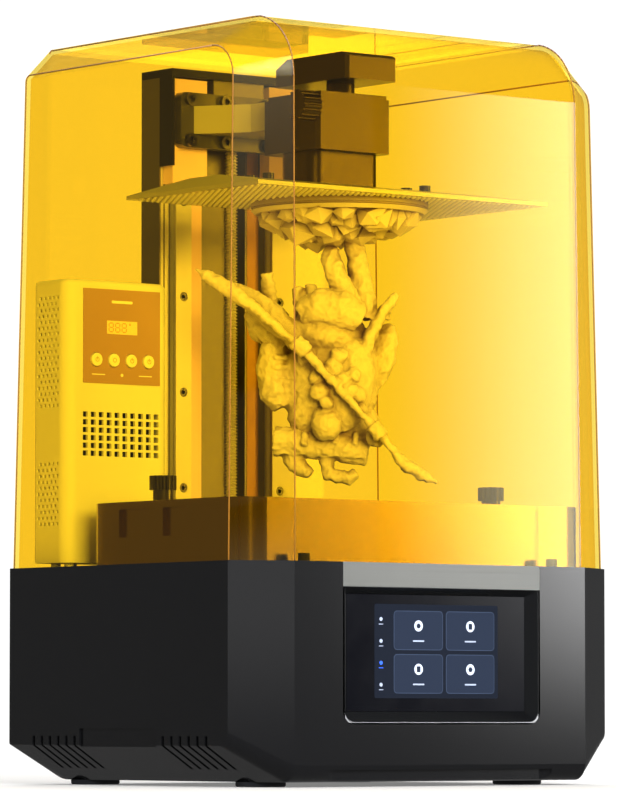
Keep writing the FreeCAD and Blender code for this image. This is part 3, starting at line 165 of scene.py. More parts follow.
MATS = {
    "case": material("case", (0.0045, 0.0043, 0.0042), 0.11, bump=0.02, scale=1500, spread=0.02,
                     Specular_IOR_Level=0.46),
    "case_metal": material("case_metal", (0.16, 0.16, 0.16), 0.5, 0.6, bump=0.05),
    "foot": material("foot", (0.018, 0.018, 0.018), 0.8, bump=0.2),
    "deck": material("deck", (0.03, 0.03, 0.03), 0.35, bump=0.08, scale=900),
    "dark_metal": material("dark_metal", (0.035, 0.033, 0.03), 0.35, 0.6, bump=0.06, scale=900),
    "bezel": material("bezel", (0.005, 0.005, 0.0048), 0.2, bump=0.04, scale=1500, Specular_IOR_Level=0.3),
    "badge": material("badge", (0.27, 0.27, 0.25), 0.4, 0.9, bump=0.08, scale=300, stretch=(0.03, 1, 4)),
    "screen_glass": material("screen_glass", (0.003, 0.003, 0.004), 0.12, scale=60, Specular_IOR_Level=0.1),
    "board_metal": material("board_metal", (0.6, 0.6, 0.6), 0.35, 1.0, bump=0.05),
    "lcd": material("lcd", (0.012, 0.012, 0.016), 0.12, scale=90),
    "inner_plastic": material("inner_plastic", (0.03, 0.03, 0.03), 0.6, bump=0.1),
    "lens": material("lens", (0.85, 0.9, 0.95), 0.1, scale=120, Transmission_Weight=0.9),
    "board": material("board", (0.015, 0.12, 0.04), 0.45, bump=0.1, scale=260),
    "sink": material("sink", (0.6, 0.6, 0.6), 0.4, 1.0, bump=0.05),
    "fan": material("fan", (0.02, 0.02, 0.02), 0.5, bump=0.08),
    "dark_aluminium": material("dark_aluminium", (0.26, 0.24, 0.22), 0.33, 0.85, bump=0.08, scale=700),
    "rail_steel": material("rail_steel", (0.92, 0.9, 0.95), 0.4, 0.75, bump=0.04, scale=500,
                           stretch=(4, 4, 0.05)),
    "screw_steel": material("screw_steel", (0.2, 0.19, 0.18), 0.3, 1.0, bump=0.05),
    "block_metal": material("block_metal", (0.95, 0.66, 0.85), 0.5, 0.2, bump=0.06),
    "carriage_metal": material("carriage_metal", (0.17, 0.16, 0.13), 0.36, 0.8, bump=0.08, scale=800),
    "nut_brass": material("nut_brass", (0.7, 0.48, 0.2), 0.3, 1.0, bump=0.05),
    "arm_metal": material("arm_metal", (0.62, 0.6, 0.57), 0.45, 0.5, bump=0.1, scale=1200),
    "head_metal": material("head_metal", (0.19, 0.15, 0.06), 0.34, 1.0, bump=0.05, scale=1200),
    "plate_metal": material("plate_metal", (0.62, 0.62, 0.58), 0.32, 0.6, bump=0.1, scale=900),
    "vat_metal": material("vat_metal", (0.44, 0.33, 0.24), 0.2, 1.0, bump=0.04, scale=900),
    "film": clear_sheet("film", (0.93, 0.93, 0.93), 0.1),
    "white_plastic": material("white_plastic", (0.78, 0.79, 0.7), 0.45, bump=0.06, scale=1200),
    "fascia": material("fascia", (0.42, 0.26, 0.14), 0.4, bump=0.05, scale=1200),
    "digits": material("digits", (0.86, 0.72, 0.5), 0.3, scale=700),
    "button": material("button", (0.88, 0.86, 0.78), 0.35, bump=0.04, scale=900),
    "filter": material("filter", (0.02, 0.02, 0.02), 0.9, bump=0.4),
    "amber": clear_sheet("amber", (1.0, 0.868, 0.34)),
    "band_brown": material("band_brown", (0.62, 0.34, 0.1), 0.4, 0.6, bump=0.05),
    "print_resin": resin_with_painted_shade("print_resin", (0.74, 0.68, 0.84), (0.17, 0.1, 0.11), 0.5),
    "plate_mark": material("plate_mark", (0.9, 0.9, 0.82), 0.4, 0.1, bump=0.05, scale=900),
}
# painted shade: a dark brown for thin lines along the cover's folds
FOLD_SHADE_PAINT = material("fold_shade_paint", (0.42, 0.22, 0.15), 0.3, scale=300, Alpha=0.8)
TRIM = material("trim", (0.45, 0.45, 0.46), 0.25, 0.9, scale=500)
NAVY = lit("navy", (0.007, 0.009, 0.014), 0.45)
CARD = lit("card", (0.013, 0.018, 0.03), 0.6)
CARD_EDGE = lit("card_edge", (0.035, 0.048, 0.075), 0.6)
ICON = lit("icon", (0.5, 0.54, 0.62), 0.6)
ACTIVE = lit("active_icon", (0.03, 0.1, 0.6), 0.9)
LABEL = lit("label", (0.3, 0.33, 0.4), 0.6)
FAINT_MARK = material("faint_mark", (0.5, 0.38, 0.22), 0.5, scale=600)
FAINT_DIGIT = material("faint_digit", (0.6, 0.36, 0.16), 0.5, scale=600)

slot_of = {part["node"]: part["material_slot"] for part in frame["record"]["subparts"]}
for node_name, node_object in frame["nodes"].items():
    if not node_object.material_slots:
        node_object.data.materials.append(None)
    for material_slot in node_object.material_slots:
        material_slot.link = "OBJECT"
        material_slot.material = MATS[slot_of[node_name]]


# ------------------------------------------------------------------ building pieces

def add(name, mesh, body, look, smooth=False):
    """A mesh piece that rides on a body, with its material on the object's slot."""
    piece = bpy.data.objects.new(name, mesh)
    collection.objects.link(piece)
    mesh.materials.append(None)
    piece.material_slots[0].link = "OBJECT"
    piece.material_slots[0].material = MATS[look] if isinstance(look, str) else look
    for face in mesh.polygons:
        face.use_smooth = smooth
    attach(piece, body)
    return piece


def mesh_of(name, bm):
    """A mesh from a bmesh, with its faces turned outwards. The bmesh is freed."""
    mesh = bpy.data.meshes.new(name)
    bmesh.ops.recalc_face_normals(bm, faces=bm.faces)
    bm.to_mesh(mesh)
    bm.free()
    return mesh


def skin_rings(bm, rings):
    """Join rings of vertices, one after the next, with four-sided faces."""
    for a, b in zip(rings, rings[1:]):
        for k in range(len(a)):
            bm.faces.new((a[k], a[(k + 1) % len(a)], b[(k + 1) % len(a)], b[k]))


def prism_bm(outline, low, high, axis, bm=None):
    """A prism of a plane outline between two heights along an axis. The outline's points are pairs:
    x, y for axis z, and x, z for axis y."""
    order = {"z": lambda a, b, c: (a, b, c), "y": lambda a, b, c: (a, c, b)}[axis]
    bm = bm or bmesh.new()
    rings = [[bm.verts.new(order(a, b, c)) for a, b in outline] for c in (low, high)]
    bm.faces.new(rings[0][::-1])
    bm.faces.new(rings[1])
    skin_rings(bm, rings)
    return bm


def rounded(x0, x1, y0, y1, radius, steps=6):
    """A rectangle with rounded corners, as a list of points."""
    points = []
    for cx, cy, start in ((x1 - radius, y1 - radius, 0), (x0 + radius, y1 - radius, 90),
                          (x0 + radius, y0 + radius, 180), (x1 - radius, y0 + radius, 270)):
        for i in range(steps + 1):
            turn = math.radians(start + 90 * i / steps)
            points.append((cx + radius * math.cos(turn), cy + radius * math.sin(turn)))
    return points


def box_around(cx, cy, half_x, half_y, radius, steps=6):
    """A rounded rectangle given by its middle and half sizes."""
    return rounded(cx - half_x, cx + half_x, cy - half_y, cy + half_y, radius, steps)


def ring_of(cx, cy, radius, count=24):
    """A circle as a list of points."""
    return [(cx + radius * math.cos(2 * math.pi * i / count), cy + radius * math.sin(2 * math.pi * i / count))
            for i in range(count)]


def frame_strip(outer, inner, front, back):
    """A flat frame between two outlines with equal point counts, in the XZ plane."""
    bm = bmesh.new()
    rings = [[bm.verts.new((x, y, z)) for x, z in points]
             for points, y in ((outer, front), (inner, front), (inner, back), (outer, back))]
    skin_rings(bm, rings + rings[:1])
    return bm


def tube_bm(points, radii, sides, bm):
    """Add a closed tube along points, with a radius at each point."""
    rings = []
    side = None
    turns = [2 * math.pi * k / sides for k in range(sides)]
    for i, point in enumerate(points):
        ahead = points[min(i + 1, len(points) - 1)] - points[max(i - 1, 0)]
        ahead.normalize()
        if side is None:
            side = ahead.orthogonal().normalized()
        side = (side - ahead * side.dot(ahead)).normalized()
        up = ahead.cross(side)
        rings.append([bm.verts.new(point + side * (radii[i] * math.cos(turn))
                                   + up * (radii[i] * math.sin(turn))) for turn in turns])
    skin_rings(bm, rings)
    bm.faces.new(rings[0][::-1])
    bm.faces.new(rings[-1])


# ------------------------------------------------------------------ lead screw thread

def make_thread():
    """The lead screw: a trapezoidal thread wound round a plain core."""
    low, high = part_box("lead_screw")
    cx, cy = centre_of("lead_screw").xy
    radius, pitch, depth, sides = (high.x - low.x) / 2, 2 * MM, 0.9 * MM, 20
    # share of the pitch and share of the depth at each corner of the thread's section
    profile = [(0.0, 0.0), (0.25, 0.0), (0.45, 1.0), (0.75, 1.0)]
    start = low.z + 0.4 * MM
    turns = int((high.z - low.z - 3 * MM) / pitch)
    bm = bmesh.new()
    rows = []
    for step in range(turns * sides + 1):
        turn = 2 * math.pi * step / sides
        base = start + pitch * step / sides
        row = []
        for along, deep in profile:
            r = radius - depth * deep
            row.append(bm.verts.new((cx + r * math.cos(turn), cy + r * math.sin(turn), base + pitch * along)))
        rows.append(row)
    for a, b in zip(rows, rows[1:]):
        for k in range(len(profile) - 1):
            bm.faces.new((a[k], b[k], b[k + 1], a[k + 1]))
    last = len(profile) - 1
    for i in range(len(rows) - sides - 1):
        bm.faces.new((rows[i][last], rows[i + 1][last], rows[i + sides + 1][0], rows[i + sides][0]))
    core = radius - depth * 0.98
    prism_bm(ring_of(cx, cy, core, sides), low.z, high.z, "z", bm)
    piece = add("lead_screw_thread", mesh_of("lead_screw_thread", bm), "lead", "rail_steel")
    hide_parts("lead_screw")


make_thread()


# ------------------------------------------------------------------ front screen

def make_trim():
    """A thin bright frame around the bezel, cut off level with the bezel's top."""
    low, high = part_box("screen_bezel")
    width, deep, past = 1.1 * MM, 1.2 * MM, 6 * MM
    outer = rounded(low.x, high.x, low.z, high.z + past, 8 * MM)
    inner = rounded(low.x + width, high.x - width, low.z + width, high.z + past - width, 7 * MM)
    bm = frame_strip(outer, inner, low.y, low.y + deep)
    for vert in bm.verts:
        vert.co.z = min(vert.co.z, high.z)
    bmesh.ops.remove_doubles(bm, verts=bm.verts, dist=1e-6)
    add("bezel_trim", mesh_of("bezel_trim", bm), "base", TRIM)


def make_screen():
    """The lit picture: thin layers in front of the glass, with four plain cards and a side bar."""
    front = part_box("touch_glass")[0].y
    layer = 0.08 * MM
    middle_x, middle_z = 0.0, 80.6 * MM
    half_x, half_z = 48.2 * MM, 28 * MM

    def plate(name, outline, level, look):
        bm = prism_bm(outline, front - level * layer, front - (level - 1) * layer, "y")
        add(name, mesh_of(name, bm), "base", look)

    plate("screen_picture", box_around(middle_x, middle_z, half_x, half_z, 1.2 * MM), 1, NAVY)
    bar, gap, line = 12 * MM, 3.2 * MM, 0.35 * MM
    card_x = (2 * half_x - bar - 3 * gap) / 2
    card_z = (2 * half_z - 3 * gap - 1 * MM) / 2
    for column in range(2):
        for row in range(2):
            x0 = middle_x - half_x + bar + gap + column * (card_x + gap)
            z0 = middle_z - half_z + gap + row * (card_z + gap)
            x1, z1 = x0 + card_x, z0 + card_z
            tag = "%d_%d" % (column, row)
            edge = rounded(x0 - line, x1 + line, z0 - line, z1 + line, 2.5 * MM)
            plate("screen_edge_" + tag, edge, 2, CARD_EDGE)
            plate("screen_card_" + tag, rounded(x0, x1, z0, z1, 2.2 * MM), 3, CARD)
            cx, cz = x0 + card_x / 2, z0 + card_z * 0.62
            plate("screen_icon_" + tag, ring_of(cx, cz, 3.3 * MM), 4, ICON)
            if (column + row) % 2:
                mark = ring_of(cx, cz, 1.7 * MM, 6)
            else:
                mark = box_around(cx, cz, 1.4 * MM, 1.8 * MM, 0.5 * MM)
            plate("screen_mark_" + tag, mark, 5, CARD)
            label = box_around(cx, z0 + 5.05 * MM, 4.4 * MM, 0.45 * MM, 0.4 * MM)
            plate("screen_label_" + tag, label, 4, LABEL)
    for i in range(4):
        look = ACTIVE if i == 2 else LABEL
        x, z = middle_x - half_x + 5 * MM, middle_z + half_z - 9 * MM - i * 13 * MM
        plate("screen_side_icon_%d" % i, ring_of(x, z, 1.2 * MM, 12), 2, look)
        plate("screen_side_label_%d" % i, box_around(x, z - 3 * MM, 1.7 * MM, 0.2 * MM, 0.2 * MM), 2, look)


make_trim()
make_screen()


# ------------------------------------------------------------------ build plate underside

def make_plate_pattern():
    """Rows of small raised marks under the build plate, staggered from row to row."""
    low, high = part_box("build_plate")
    pitch, row_pitch, margin = 4.0 * MM, 3.2 * MM, 4 * MM
    half_x, half_y, tall = 1.5 * MM, 1.05 * MM, 0.8 * MM
    columns = int((high.x - low.x - 6 * MM) / pitch)
    rows = int((high.y - low.y - 6 * MM) / row_pitch)
    lozenge = ((-1, 0), (0, -1), (1, 0), (0, 1))
    bm = bmesh.new()
    for row in range(rows):
        for column in range(columns):
            x = low.x + margin + pitch * (column + 0.5 * (row % 2))
            y = low.y + margin + row_pitch * row
            base = [bm.verts.new((x + dx * half_x, y + dy * half_y, low.z)) for dx, dy in lozenge]
            tip = [bm.verts.new((x + dx * half_x / 2, y + dy * half_y / 2, low.z - tall))
                   for dx, dy in lozenge]
            bm.faces.new(tip)
            skin_rings(bm, (base, tip))
            bm.faces.new(base[::-1])
    add("plate_marks", mesh_of("plate_marks", bm), "platform", "plate_mark")


make_plate_pattern()


# ------------------------------------------------------------------ bands down the tower

def make_tower_bands():
    """Thin bright bands down the tower: one beside the left rail, one beside the channel, two on the lips."""
    lip_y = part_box("tower")[0].y
    rail_low, rail_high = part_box("linear_rails")
    bottom, top = rail_low.z + 2 * MM, rail_high.z
    thick, proud = 0.25 * MM, 0.15 * MM
    floor_span = (rail_high.y - thick, rail_high.y)
    lip_span = (lip_y - proud, lip_y + thick)
    for name, left, right, (front, rear), look in (("band_warm", -27.5, -18.5, floor_span, "block_metal"),
                                                   ("band_olive", 18, 27, floor_span, "band_brown"),
                                                   ("band_lip_left", -53.6, -51.6, lip_span, "rail_steel"),
                                                   ("band_lip_left_2", -50.2, -47.4, lip_span, "rail_steel"),
                                                   ("band_lip_right", 47.4, 53.6, lip_span, "rail_steel")):
        x0, x1 = left * MM, right * MM
        bm = prism_bm([(x0, bottom), (x1, bottom), (x1, top), (x0, top)], front, rear, "y")
        add(name, mesh_of(name, bm), "base", look)


make_tower_bands()


# ------------------------------------------------------------------ purifier marks

def make_digits():
    """Three unlit eights and a degree mark on the purifier's display."""
    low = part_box("purifier_display")[0]
    front, back = low.y - 0.12 * MM, low.y - 0.02 * MM
    middle = centre_of("purifier_display").z
    digit_w, digit_h, bar, step = 3.3 * MM, 5.4 * MM, 0.75 * MM, 5 * MM
    start = low.x + 3 * MM
    # each bar's place in half widths and half heights of the digit, and whether it lies flat
    bars = ((0, 1, True), (1, 0.5, False), (1, -0.5, False), (0, -1, True), (-1, -0.5, False),
            (-1, 0.5, False), (0, 0, True))
    bm = bmesh.new()
    for index in range(3):
        for across, up, flat in bars:
            cx = start + index * step + across * digit_w / 2
            cz = middle + up * digit_h / 2
            half_x, half_z = (digit_w * 0.36, bar / 2) if flat else (bar / 2, digit_h * 0.19)
            prism_bm(box_around(cx, cz, half_x, half_z, 0.15 * MM, 2), front, back, "y", bm)
    prism_bm(ring_of(start + 14.4 * MM, middle + 2.2 * MM, 0.7 * MM, 12), front, back, "y", bm)
    add("purifier_digits", mesh_of("purifier_digits", bm), "base", FAINT_DIGIT)


def make_rules():
    """A thin rule and a lozenge under the purifier's buttons, and a plain bar above its display."""
    low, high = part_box("purifier_fascia")
    centre, rule_z = centre_of("purifier_fascia").x, low.z + 5.5 * MM
    outlines = [box_around(centre + side * 18 * MM, rule_z, 5 * MM, 0.3 * MM, 0.25 * MM, 2)
                for side in (-1, 1)]
    outlines.append(ring_of(centre, rule_z, 1.1 * MM, 6))
    outlines.append(box_around(centre, high.z - 7.75 * MM, 8 * MM, 0.85 * MM, 0.8 * MM))
    bm = bmesh.new()
    for outline in outlines:
        prism_bm(outline, low.y - 0.1 * MM, low.y, "y", bm)
    add("purifier_rules", mesh_of("purifier_rules", bm), "base", "button")


def make_button_marks():
    """A small ring on each button, with an upright tick on all but one."""
    for name in ("heat", "timer", "speed", "power"):
        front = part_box("button_" + name)[0].y
        cx, _, cz = centre_of("button_" + name)
        outer, inner = ring_of(cx, cz, 1.5 * MM, 16), ring_of(cx, cz, 1.05 * MM, 16)
        bm = frame_strip(outer, inner, front - 0.08 * MM, front)
        if name != "timer":
            tick = box_around(cx, cz + 0.85 * MM, 0.25 * MM, 1.05 * MM, 0.1 * MM, 2)
            prism_bm(tick, front - 0.1 * MM, front, "y", bm)
        add("button_mark_" + name, mesh_of("button_mark_" + name, bm), "b_" + name, FAINT_MARK)


make_digits()
make_rules()
make_button_marks()


# ------------------------------------------------------------------ cover edges

def make_cover_edges():
    """Thin painted lines of shade where the cover's flat faces meet, standing in for the darker look light
    gives its folds.
    """
    low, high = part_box("cover_shell")
    centre = centre_of("cover_shell")
    centre.z = low.z + 0.1
    radius, shortest = 0.5 * MM, 0.3 * MM
    flattest, sharpest = math.radians(14), math.radians(80)
    rear_y, rear_half_x = 0.05, 0.12
    shell = bmesh.new()
    shell.from_mesh(frame["nodes"]["cover_shell"].data)
    bmesh.ops.remove_doubles(shell, verts=shell.verts, dist=1e-6)
    bmesh.ops.dissolve_limit(shell, angle_limit=math.radians(0.6), verts=shell.verts, edges=shell.edges)
    lines = bmesh.new()
    for edge in shell.edges:
        faces = edge.link_faces
        if len(faces) != 2 or not flattest < edge.calc_face_angle(0) < sharpest:
            continue
        # the inner skin's faces look towards the middle, and get no line
        if any(face.normal.dot(face.calc_center_median() - centre) < 0 for face in faces):
            continue
        a, b = (vert.co for vert in edge.verts)
        upright = abs((b - a).normalized().z) > 0.9
        rear_upright = upright and (a.y + b.y) / 2 > rear_y and abs(a.x) < rear_half_x
        if (a - b).length <= shortest or rear_upright:
            continue
        ends = []
        for point in (a, b):
            inwards = Vector((centre.x - point.x, centre.y - point.y, 0)).normalized()
            spot = point + inwards * (1.3 * radius)
            spot.z = min(spot.z, high.z - 1.2 * radius)
            ends.append(spot)
        tube_bm(ends, (radius, radius), 6, lines)
    shell.free()
    add("cover_fold_shade_lines", mesh_of("cover_fold_shade_lines", lines), "cover", FOLD_SHADE_PAINT, smooth=True)


make_cover_edges()


# ------------------------------------------------------------------ the hung print

def statue_mesh(cx, cy):
    """A plain hung statuette: two stems, a bulky trunk, bundles and a long staff, merged into one skin."""
    # across runs to the right in a view from the front left, deep runs away from it
    turn = math.radians(-39)
    across_axis = Vector((math.cos(turn), math.sin(turn), 0))
    deep_axis = Vector((-math.sin(turn), math.cos(turn), 0))
    origin = Vector((cx, cy, 0))

    def at(across, deep, z):
        return origin + across_axis * (across * MM) + deep_axis * (deep * MM) + Vector((0, 0, z * MM))

    rng = random.Random(7)
    bm = bmesh.new()

    def ball(centre, radii, tilt=0.0, detail=3):
        made = bmesh.ops.create_icosphere(bm, subdivisions=detail, radius=1)
        basis = Matrix.Rotation(turn, 4, "Z") @ Matrix.Rotation(math.radians(tilt), 4, "Y")
        size = Matrix.Diagonal((radii[0] * MM, radii[1] * MM, radii[2] * MM, 1))
        bmesh.ops.transform(bm, matrix=Matrix.Translation(at(*centre)) @ basis @ size, verts=made["verts"])

    def limb(points, radii):
        tube_bm([at(*p) for p in points], [r * MM for r in radii], 14, bm)

    # trunk and the bulky masses on it
    ball((-5, 4, 252), (30, 22, 42))
    ball((-8, 0, 276), (24, 20, 16), 12)
    ball((4, -10, 246), (17, 12, 30), 8)
    ball((-24, 6, 250), (17, 16, 24))
    ball((-8, -14, 221), (9.5, 9, 10.5))
    ball((10, 4, 222), (14, 14, 14))
    ball((-16, 2, 228), (16, 14, 16))
    # raised thigh-like mass and the two stems that reach the rocks
    limb([(-22, -8, 290), (-12, -14, 292), (2, -15, 291), (12, -12, 286)], [9, 12, 12, 9])
    limb([(6, -12, 289), (4, -12, 300), (-2, -10, 312), (-5, -8, 324)], [10, 7, 6.5, 6])
    limb([(13, -4, 286), (14, -4, 298), (12, -3, 313), (9, -2, 332), (8, -2, 346)], [10, 8.5, 6.5, 6, 7])
    ball((-5, -8, 325), (5.5, 5.5, 6))
    ball((9, -6, 340), (6, 6, 4.5))
    # bundle at the left, with bands
    limb([(-39, 2, 270), (-40, 2, 256), (-38, 2, 240), (-34, 2, 232)], [10, 11.5, 11, 7])
    for z in (262, 256, 249):
        limb([(-50, 2, z - 1), (-39, -9, z), (-28, -6, z)], [1.6, 1.6, 1.6])
    # upright boards behind
    limb([(-45, 6, 315), (-43, 6, 298), (-40, 6, 275)], [4, 4, 4])
    limb([(-26, 10, 306), (-24, 8, 285)], [3.6, 3.6])
    limb([(-18, 10, 308), (-18, 8, 285)], [3.2, 3.2])
    # trailing strips at the upper right
    for k in range(4):
        limb([(12 - k, -12 + 3 * k, 252 + 4 * k), (18, -12 + 3 * k, 274), (26 + k, -8 + 2 * k, 290 + k),
              (35 - 2 * k, -4 + k, 301 - 5 * k)], [4.0, 3.8, 3.0, 2.0])
    ball((24, 4, 262), (10, 8, 22), 18)
    # wide slab at the upper left, behind the staff
    limb([(-66, -4, 306), (-52, -6, 296), (-38, -8, 284), (-26, -10, 272)], [3, 7, 8, 7])
    limb([(-56, 0, 292), (-46, 0, 282), (-34, 0, 268)], [5, 8, 8])
    ball((-44, 4, 284), (13, 9, 14), 30)
    # rolled mat across the bottom
    limb([(-40, 0, 211), (-20, -2, 209), (0, -3, 207), (17, -3, 204)], [9.5, 8.4, 8.8, 8.4])
    for across in (-22, -3, 9):
        limb([(across, -12, 208), (across + 1, -9.5, 214), (across, 0, 217)], [1.8, 1.8, 1.8])
    limb([(-30, 2, 205), (-26, 0, 196), (-18, 0, 190)], [7, 6, 3])
    limb([(-8, -2, 201), (-6, -2, 190), (6, -3, 188), (10, -3, 191)], [5, 4.5, 4, 3])
    # clusters of small lumps
    lumps = (((-4, -20, 254), 6.5), ((2, -22, 247), 5.5), ((8, -21, 250), 5), ((6, -22, 241), 5.5),
             ((11, -19, 238), 5), ((-12, -19, 240), 5.5), ((-8, -21, 233), 4.5), ((13, -17, 229), 4.5),
             ((0, -19, 262), 5.5), ((22, -16, 212), 6), ((-20, -14, 262), 6), ((-14, -17, 249), 5))
    for centre, size in lumps:
        ball(centre, (size, size * 0.9, size * 1.05), rng.uniform(-30, 30), 2)
    # staff, with a leaf-shaped blade at each end
    limb([(-50, -24, 289), (-24, -25, 268), (37, -27, 200)], [2.6, 2.6, 2.4])
    limb([(-27, -25, 271), (-20, -25, 264)], [5, 5])
    limb([(20, -26, 219), (26, -26, 212)], [4.6, 4.6])
    limb([(-88, -22, 315), (-80, -22, 311), (-68, -23, 303), (-56, -24, 294), (-48, -24, 288)],
         [0.8, 3.6, 5, 4, 2.6])
    limb([(34, -27, 203), (40, -27, 195), (50, -27, 189), (60, -27, 184)], [2.6, 4.6, 3.6, 0.8])

    piece = bpy.data.objects.new("print_mass", mesh_of("print_mass", bm))
    collection.objects.link(piece)
    merge = piece.modifiers.new("merge", "REMESH")
    merge.mode = "VOXEL"
    merge.voxel_size = 0.75 * MM
    bpy.context.view_layer.update()
    merged = bpy.data.meshes.new_from_object(piece.evaluated_get(bpy.context.evaluated_depsgraph_get()))
    bpy.data.objects.remove(piece)

    # shallow folds, ridges and creases over the merged skin, in millimetres
    body = bmesh.new()
    body.from_mesh(merged)
    for vert in body.verts:
        cell = noise.cell(vert.co * 120.0)
        folds = noise.noise(vert.co * 90.0) * 1.1 + noise.noise(vert.co * 300.0) * 0.5
        ridges = abs(noise.noise(vert.co * 120.0 + Vector((3, 1, 7)))) * -2.1
        creases = abs(noise.noise(vert.co * 300.0 + Vector((1, 8, 2)))) * -0.9
        vert.co += vert.normal * ((folds * 0.7 + ridges + creases + 0.8 + 0.05 * cell) * MM)
    return mesh_of("print_statue", body)


def base_mesh(cx, cy, top):
    """The print's round base, with a stepped rim."""
    # radius and distance below the top, in millimetres
    rim = ((54.8, 0), (54.8, 3), (53.6, 3.4), (53.6, 4.4), (54.6, 4.8), (52, 7.2))
    bm = bmesh.new()
    rings = [[bm.verts.new((x, y, top - drop * MM)) for x, y in ring_of(cx, cy, radius * MM, 96)]
             for radius, drop in rim]
    bm.faces.new(rings[0])
    skin_rings(bm, rings)
    bm.faces.new(rings[-1][::-1])
    return mesh_of("print_base", bm)


def rocks_mesh(cx, cy, top):
    """A crust of flat-faced rocks under the base, narrower further down."""
    rng = random.Random(21)
    bm = bmesh.new()
    for _ in range(90):
        ring = math.sqrt(rng.random())
        angle = rng.uniform(0, 2 * math.pi)
        r = ring * 44
        drop = 7 + (1 - ring) * 17 * rng.uniform(0.6, 1.15)
        size = rng.uniform(7, 14)
        made = bmesh.ops.create_icosphere(bm, subdivisions=1, radius=size * MM)
        spin = Matrix.Rotation(rng.uniform(0, 6.3), 4, Vector((rng.random(), rng.random(), 1)))
        stretch = Matrix.Diagonal((rng.uniform(0.7, 1.1), rng.uniform(0.7, 1.1), rng.uniform(0.7, 1.2), 1))
        for vert in made["verts"]:
            vert.co *= rng.uniform(0.85, 1.12)
        spot = Vector((cx + r * MM * math.cos(angle), cy + r * MM * math.sin(angle), top - drop * MM))
        bmesh.ops.transform(bm, matrix=Matrix.Translation(spot) @ spin @ stretch, verts=made["verts"])
    limit = 53.5 * MM
    for vert in bm.verts:
        flat = Vector((vert.co.x - cx, vert.co.y - cy))
        room = limit - max(0.0, top - 9 * MM - vert.co.z) * 0.8
        if flat.length > room:
            flat = flat.normalized() * room
            vert.co.x, vert.co.y = cx + flat.x, cy + flat.y
        vert.co.z = min(vert.co.z, top - 4 * MM)
    return mesh_of("print_rocks", bm)


def make_print():
    """The hung print in three pieces on the platform, each with a mesh of its own."""
    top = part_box("sample_print")[1].z
    cx, cy = centre_of("sample_print").xy
    statue = add("print_statue", statue_mesh(cx, cy), "platform", "print_resin", smooth=True)
    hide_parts("sample_print")
    base = add("print_base", base_mesh(cx, cy, top), "platform", "print_resin")
    rocks = add("print_rocks", rocks_mesh(cx, cy, top), "platform", "print_resin")
    for piece in (statue, base, rocks):
        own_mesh(piece)


make_print()


# ------------------------------------------------------------------ floor, lights and camera

def ramp(nodes, links, source, start, end, high=1.0):
    """A smooth rise from 0 to high between two values of the source."""
    made = nodes.new("ShaderNodeMapRange")
    made.interpolation_type = "SMOOTHSTEP"
    made.inputs["From Min"].default_value = start
    made.inputs["From Max"].default_value = end
    made.inputs["To Max"].default_value = high
    links.new(source, made.inputs["Value"])
    return made.outputs["Result"]


def floor_paint():
    """A pale floor that turns evenly bright away from the printer, between two distances from its middle."""
    glow_starts, glow_full = 0.35, 1.1
    made = bpy.data.materials.new("floor_paint")
    made.use_nodes = True
    nodes, links = made.node_tree.nodes, made.node_tree.links
    shader = nodes["Principled BSDF"]
    shader.inputs["Base Color"].default_value = (0.87, 0.8, 0.67, 1)
    shader.inputs["Roughness"].default_value = 0.8
    shader.inputs["Specular IOR Level"].default_value = 0.0
    shader.inputs["Emission Color"].default_value = (1, 1, 1, 1)
    shader.inputs["Emission Strength"].default_value = 0.2
    glow = nodes.new("ShaderNodeEmission")
    glow.inputs["Strength"].default_value = 1.05
    place = nodes.new("ShaderNodeTexCoord")
    length = nodes.new("ShaderNodeVectorMath")
    length.operation = "LENGTH"
    links.new(place.outputs["Object"], length.inputs[0])
    mix = nodes.new("ShaderNodeMixShader")
    links.new(ramp(nodes, links, length.outputs["Value"], glow_starts, glow_full), mix.inputs["Fac"])
    links.new(shader.outputs["BSDF"], mix.inputs[1])
    links.new(glow.outputs["Emission"], mix.inputs[2])
    links.new(mix.outputs["Shader"], nodes["Material Output"].inputs["Surface"])
    return made


def flat_sheet(name, half_x, half_y, look):
    """A plain rectangle of the studio, facing up."""
    bm = bmesh.new()
    bm.faces.new([bm.verts.new((x * half_x, y * half_y, 0)) for x, y in ((-1, -1), (1, -1), (1, 1), (-1, 1))])
    sheet = bpy.data.objects.new(name, mesh_of(name, bm))
    collection.objects.link(sheet)
    sheet.data.materials.append(look)
    return sheet


def card_glow(name, half_x, half_y, strength, fades):
    """A glow that fades to nothing over a distance from each edge: left, right, bottom and top."""
    left, right, bottom, top = fades
    made = bpy.data.materials.new(name)
    made.use_nodes = True
    nodes, links = made.node_tree.nodes, made.node_tree.links
    nodes.remove(nodes["Principled BSDF"])
    glow = nodes.new("ShaderNodeEmission")
    coords = nodes.new("ShaderNodeTexCoord")
    parts = nodes.new("ShaderNodeSeparateXYZ")
    links.new(coords.outputs["Object"], parts.inputs["Vector"])
    level = ramp(nodes, links, parts.outputs["X"], -half_x, -half_x + left, strength)
    for axis, start, end in (("X", half_x, half_x - right), ("Y", -half_y, -half_y + bottom),
                             ("Y", half_y, half_y - top)):
        times = nodes.new("ShaderNodeMath")
        times.operation = "MULTIPLY"
        links.new(level, times.inputs[0])
        links.new(ramp(nodes, links, parts.outputs[axis], start, end), times.inputs[1])
        level = times.outputs["Value"]
    links.new(level, glow.inputs["Strength"])
    links.new(glow.outputs["Emission"], nodes["Material Output"].inputs["Surface"])
    return made


def make_card(name, place, aim, size, strength, fades):
    """A large soft card, level with its aim, that shows in reflections and not to the camera."""
    half_x, half_y = size[0] / 2, size[1] / 2
    card = flat_sheet(name, half_x, half_y, card_glow(name, half_x, half_y, strength, fades))
    card.location = place
    card.rotation_euler = (Vector((*aim, place[2])) - Vector(place)).to_track_quat("Z", "Y").to_euler()
    card.visible_camera = False


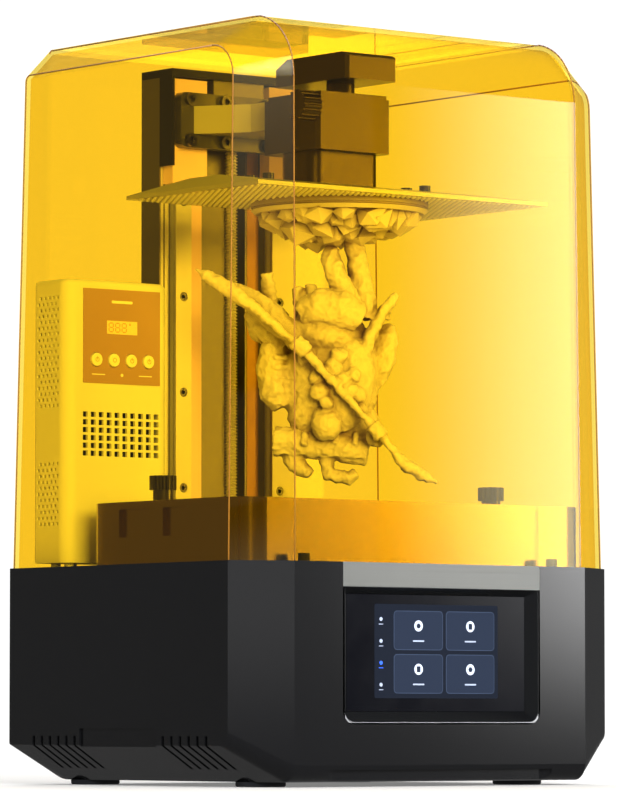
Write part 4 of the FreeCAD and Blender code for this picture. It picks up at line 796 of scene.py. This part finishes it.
def make_light(name, place, size, power):
    """A soft fill light that lights the printer and shows in no reflection. It is slightly cool."""
    data = bpy.data.lights.new(name, "AREA")
    data.shape = "RECTANGLE"
    data.size, data.size_y = size
    data.energy = power
    data.color = (0.91, 1.0, 1.22)
    lamp = bpy.data.objects.new(name, data)
    collection.objects.link(lamp)
    lamp.location = place
    lamp.rotation_euler = (Vector((0, 0, 0.25)) - Vector(place)).to_track_quat("-Z", "Y").to_euler()
    lamp.visible_glossy = False


def make_world():
    """A white world, bright behind the object and dim as a light."""
    light_level, backdrop_level = 0.16, 1.1
    world = bpy.data.worlds.new("studio")
    bpy.context.scene.world = world
    world.use_nodes = True
    nodes, links = world.node_tree.nodes, world.node_tree.links
    background = nodes["Background"]
    background.inputs["Color"].default_value = (1, 1, 1, 1)
    path = nodes.new("ShaderNodeLightPath")
    level = nodes.new("ShaderNodeMapRange")
    level.inputs["To Min"].default_value = light_level
    level.inputs["To Max"].default_value = backdrop_level
    links.new(path.outputs["Is Camera Ray"], level.inputs["Value"])
    links.new(level.outputs["Result"], background.inputs["Strength"])
    bpy.context.scene.view_settings.view_transform = "Standard"


def make_camera():
    """A long lens from the front left, just above the floor and tilted slightly up."""
    data = bpy.data.cameras.new("camera")
    data.sensor_width = 36
    data.lens = 237.45
    data.clip_start, data.clip_end = 0.1, 100
    camera = bpy.data.objects.new("camera", data)
    collection.objects.link(camera)
    camera.location = (-2.0357, -2.5508, 0.0391)
    camera.rotation_euler = (math.radians(93.48), 0, math.radians(-38.59))
    bpy.context.scene.camera = camera


flat_sheet("floor", 12, 12, floor_paint()).visible_glossy = False
make_world()
make_card("strip_card", (-1.7, -3.6, 2.1), (-0.13, -0.12), (1.2, 3.0), 8.0, (0.25, 0.25, 1.6, 0.3))
make_card("low_card", (-1.62, -3.6, 0.22), (-0.13, -0.12), (0.9, 0.44), 1.0, (0.25, 0.25, 0.15, 0.15))
make_card("right_card", (3.2, -3.3, 0.66), (0, 0), (1.0, 1.32), 12.5, (0.3, 0.42, 0.3, 0.15))
make_card("rear_card", (2.5, 3.1, 0.6), (0, 0), (2.8, 1.9), 3.1, (0.3, 0.3, 0.2, 0.3))
make_light("front_fill", (-1.3, -3.5, 0.9), (1.6, 1.2), 230)
make_light("top_fill", (0.2, 0.2, 2.6), (2.0, 2.0), 30)
make_light("rear_glow", (1.6, 2.2, 2.2), (1.5, 1.5), 60)
make_camera()
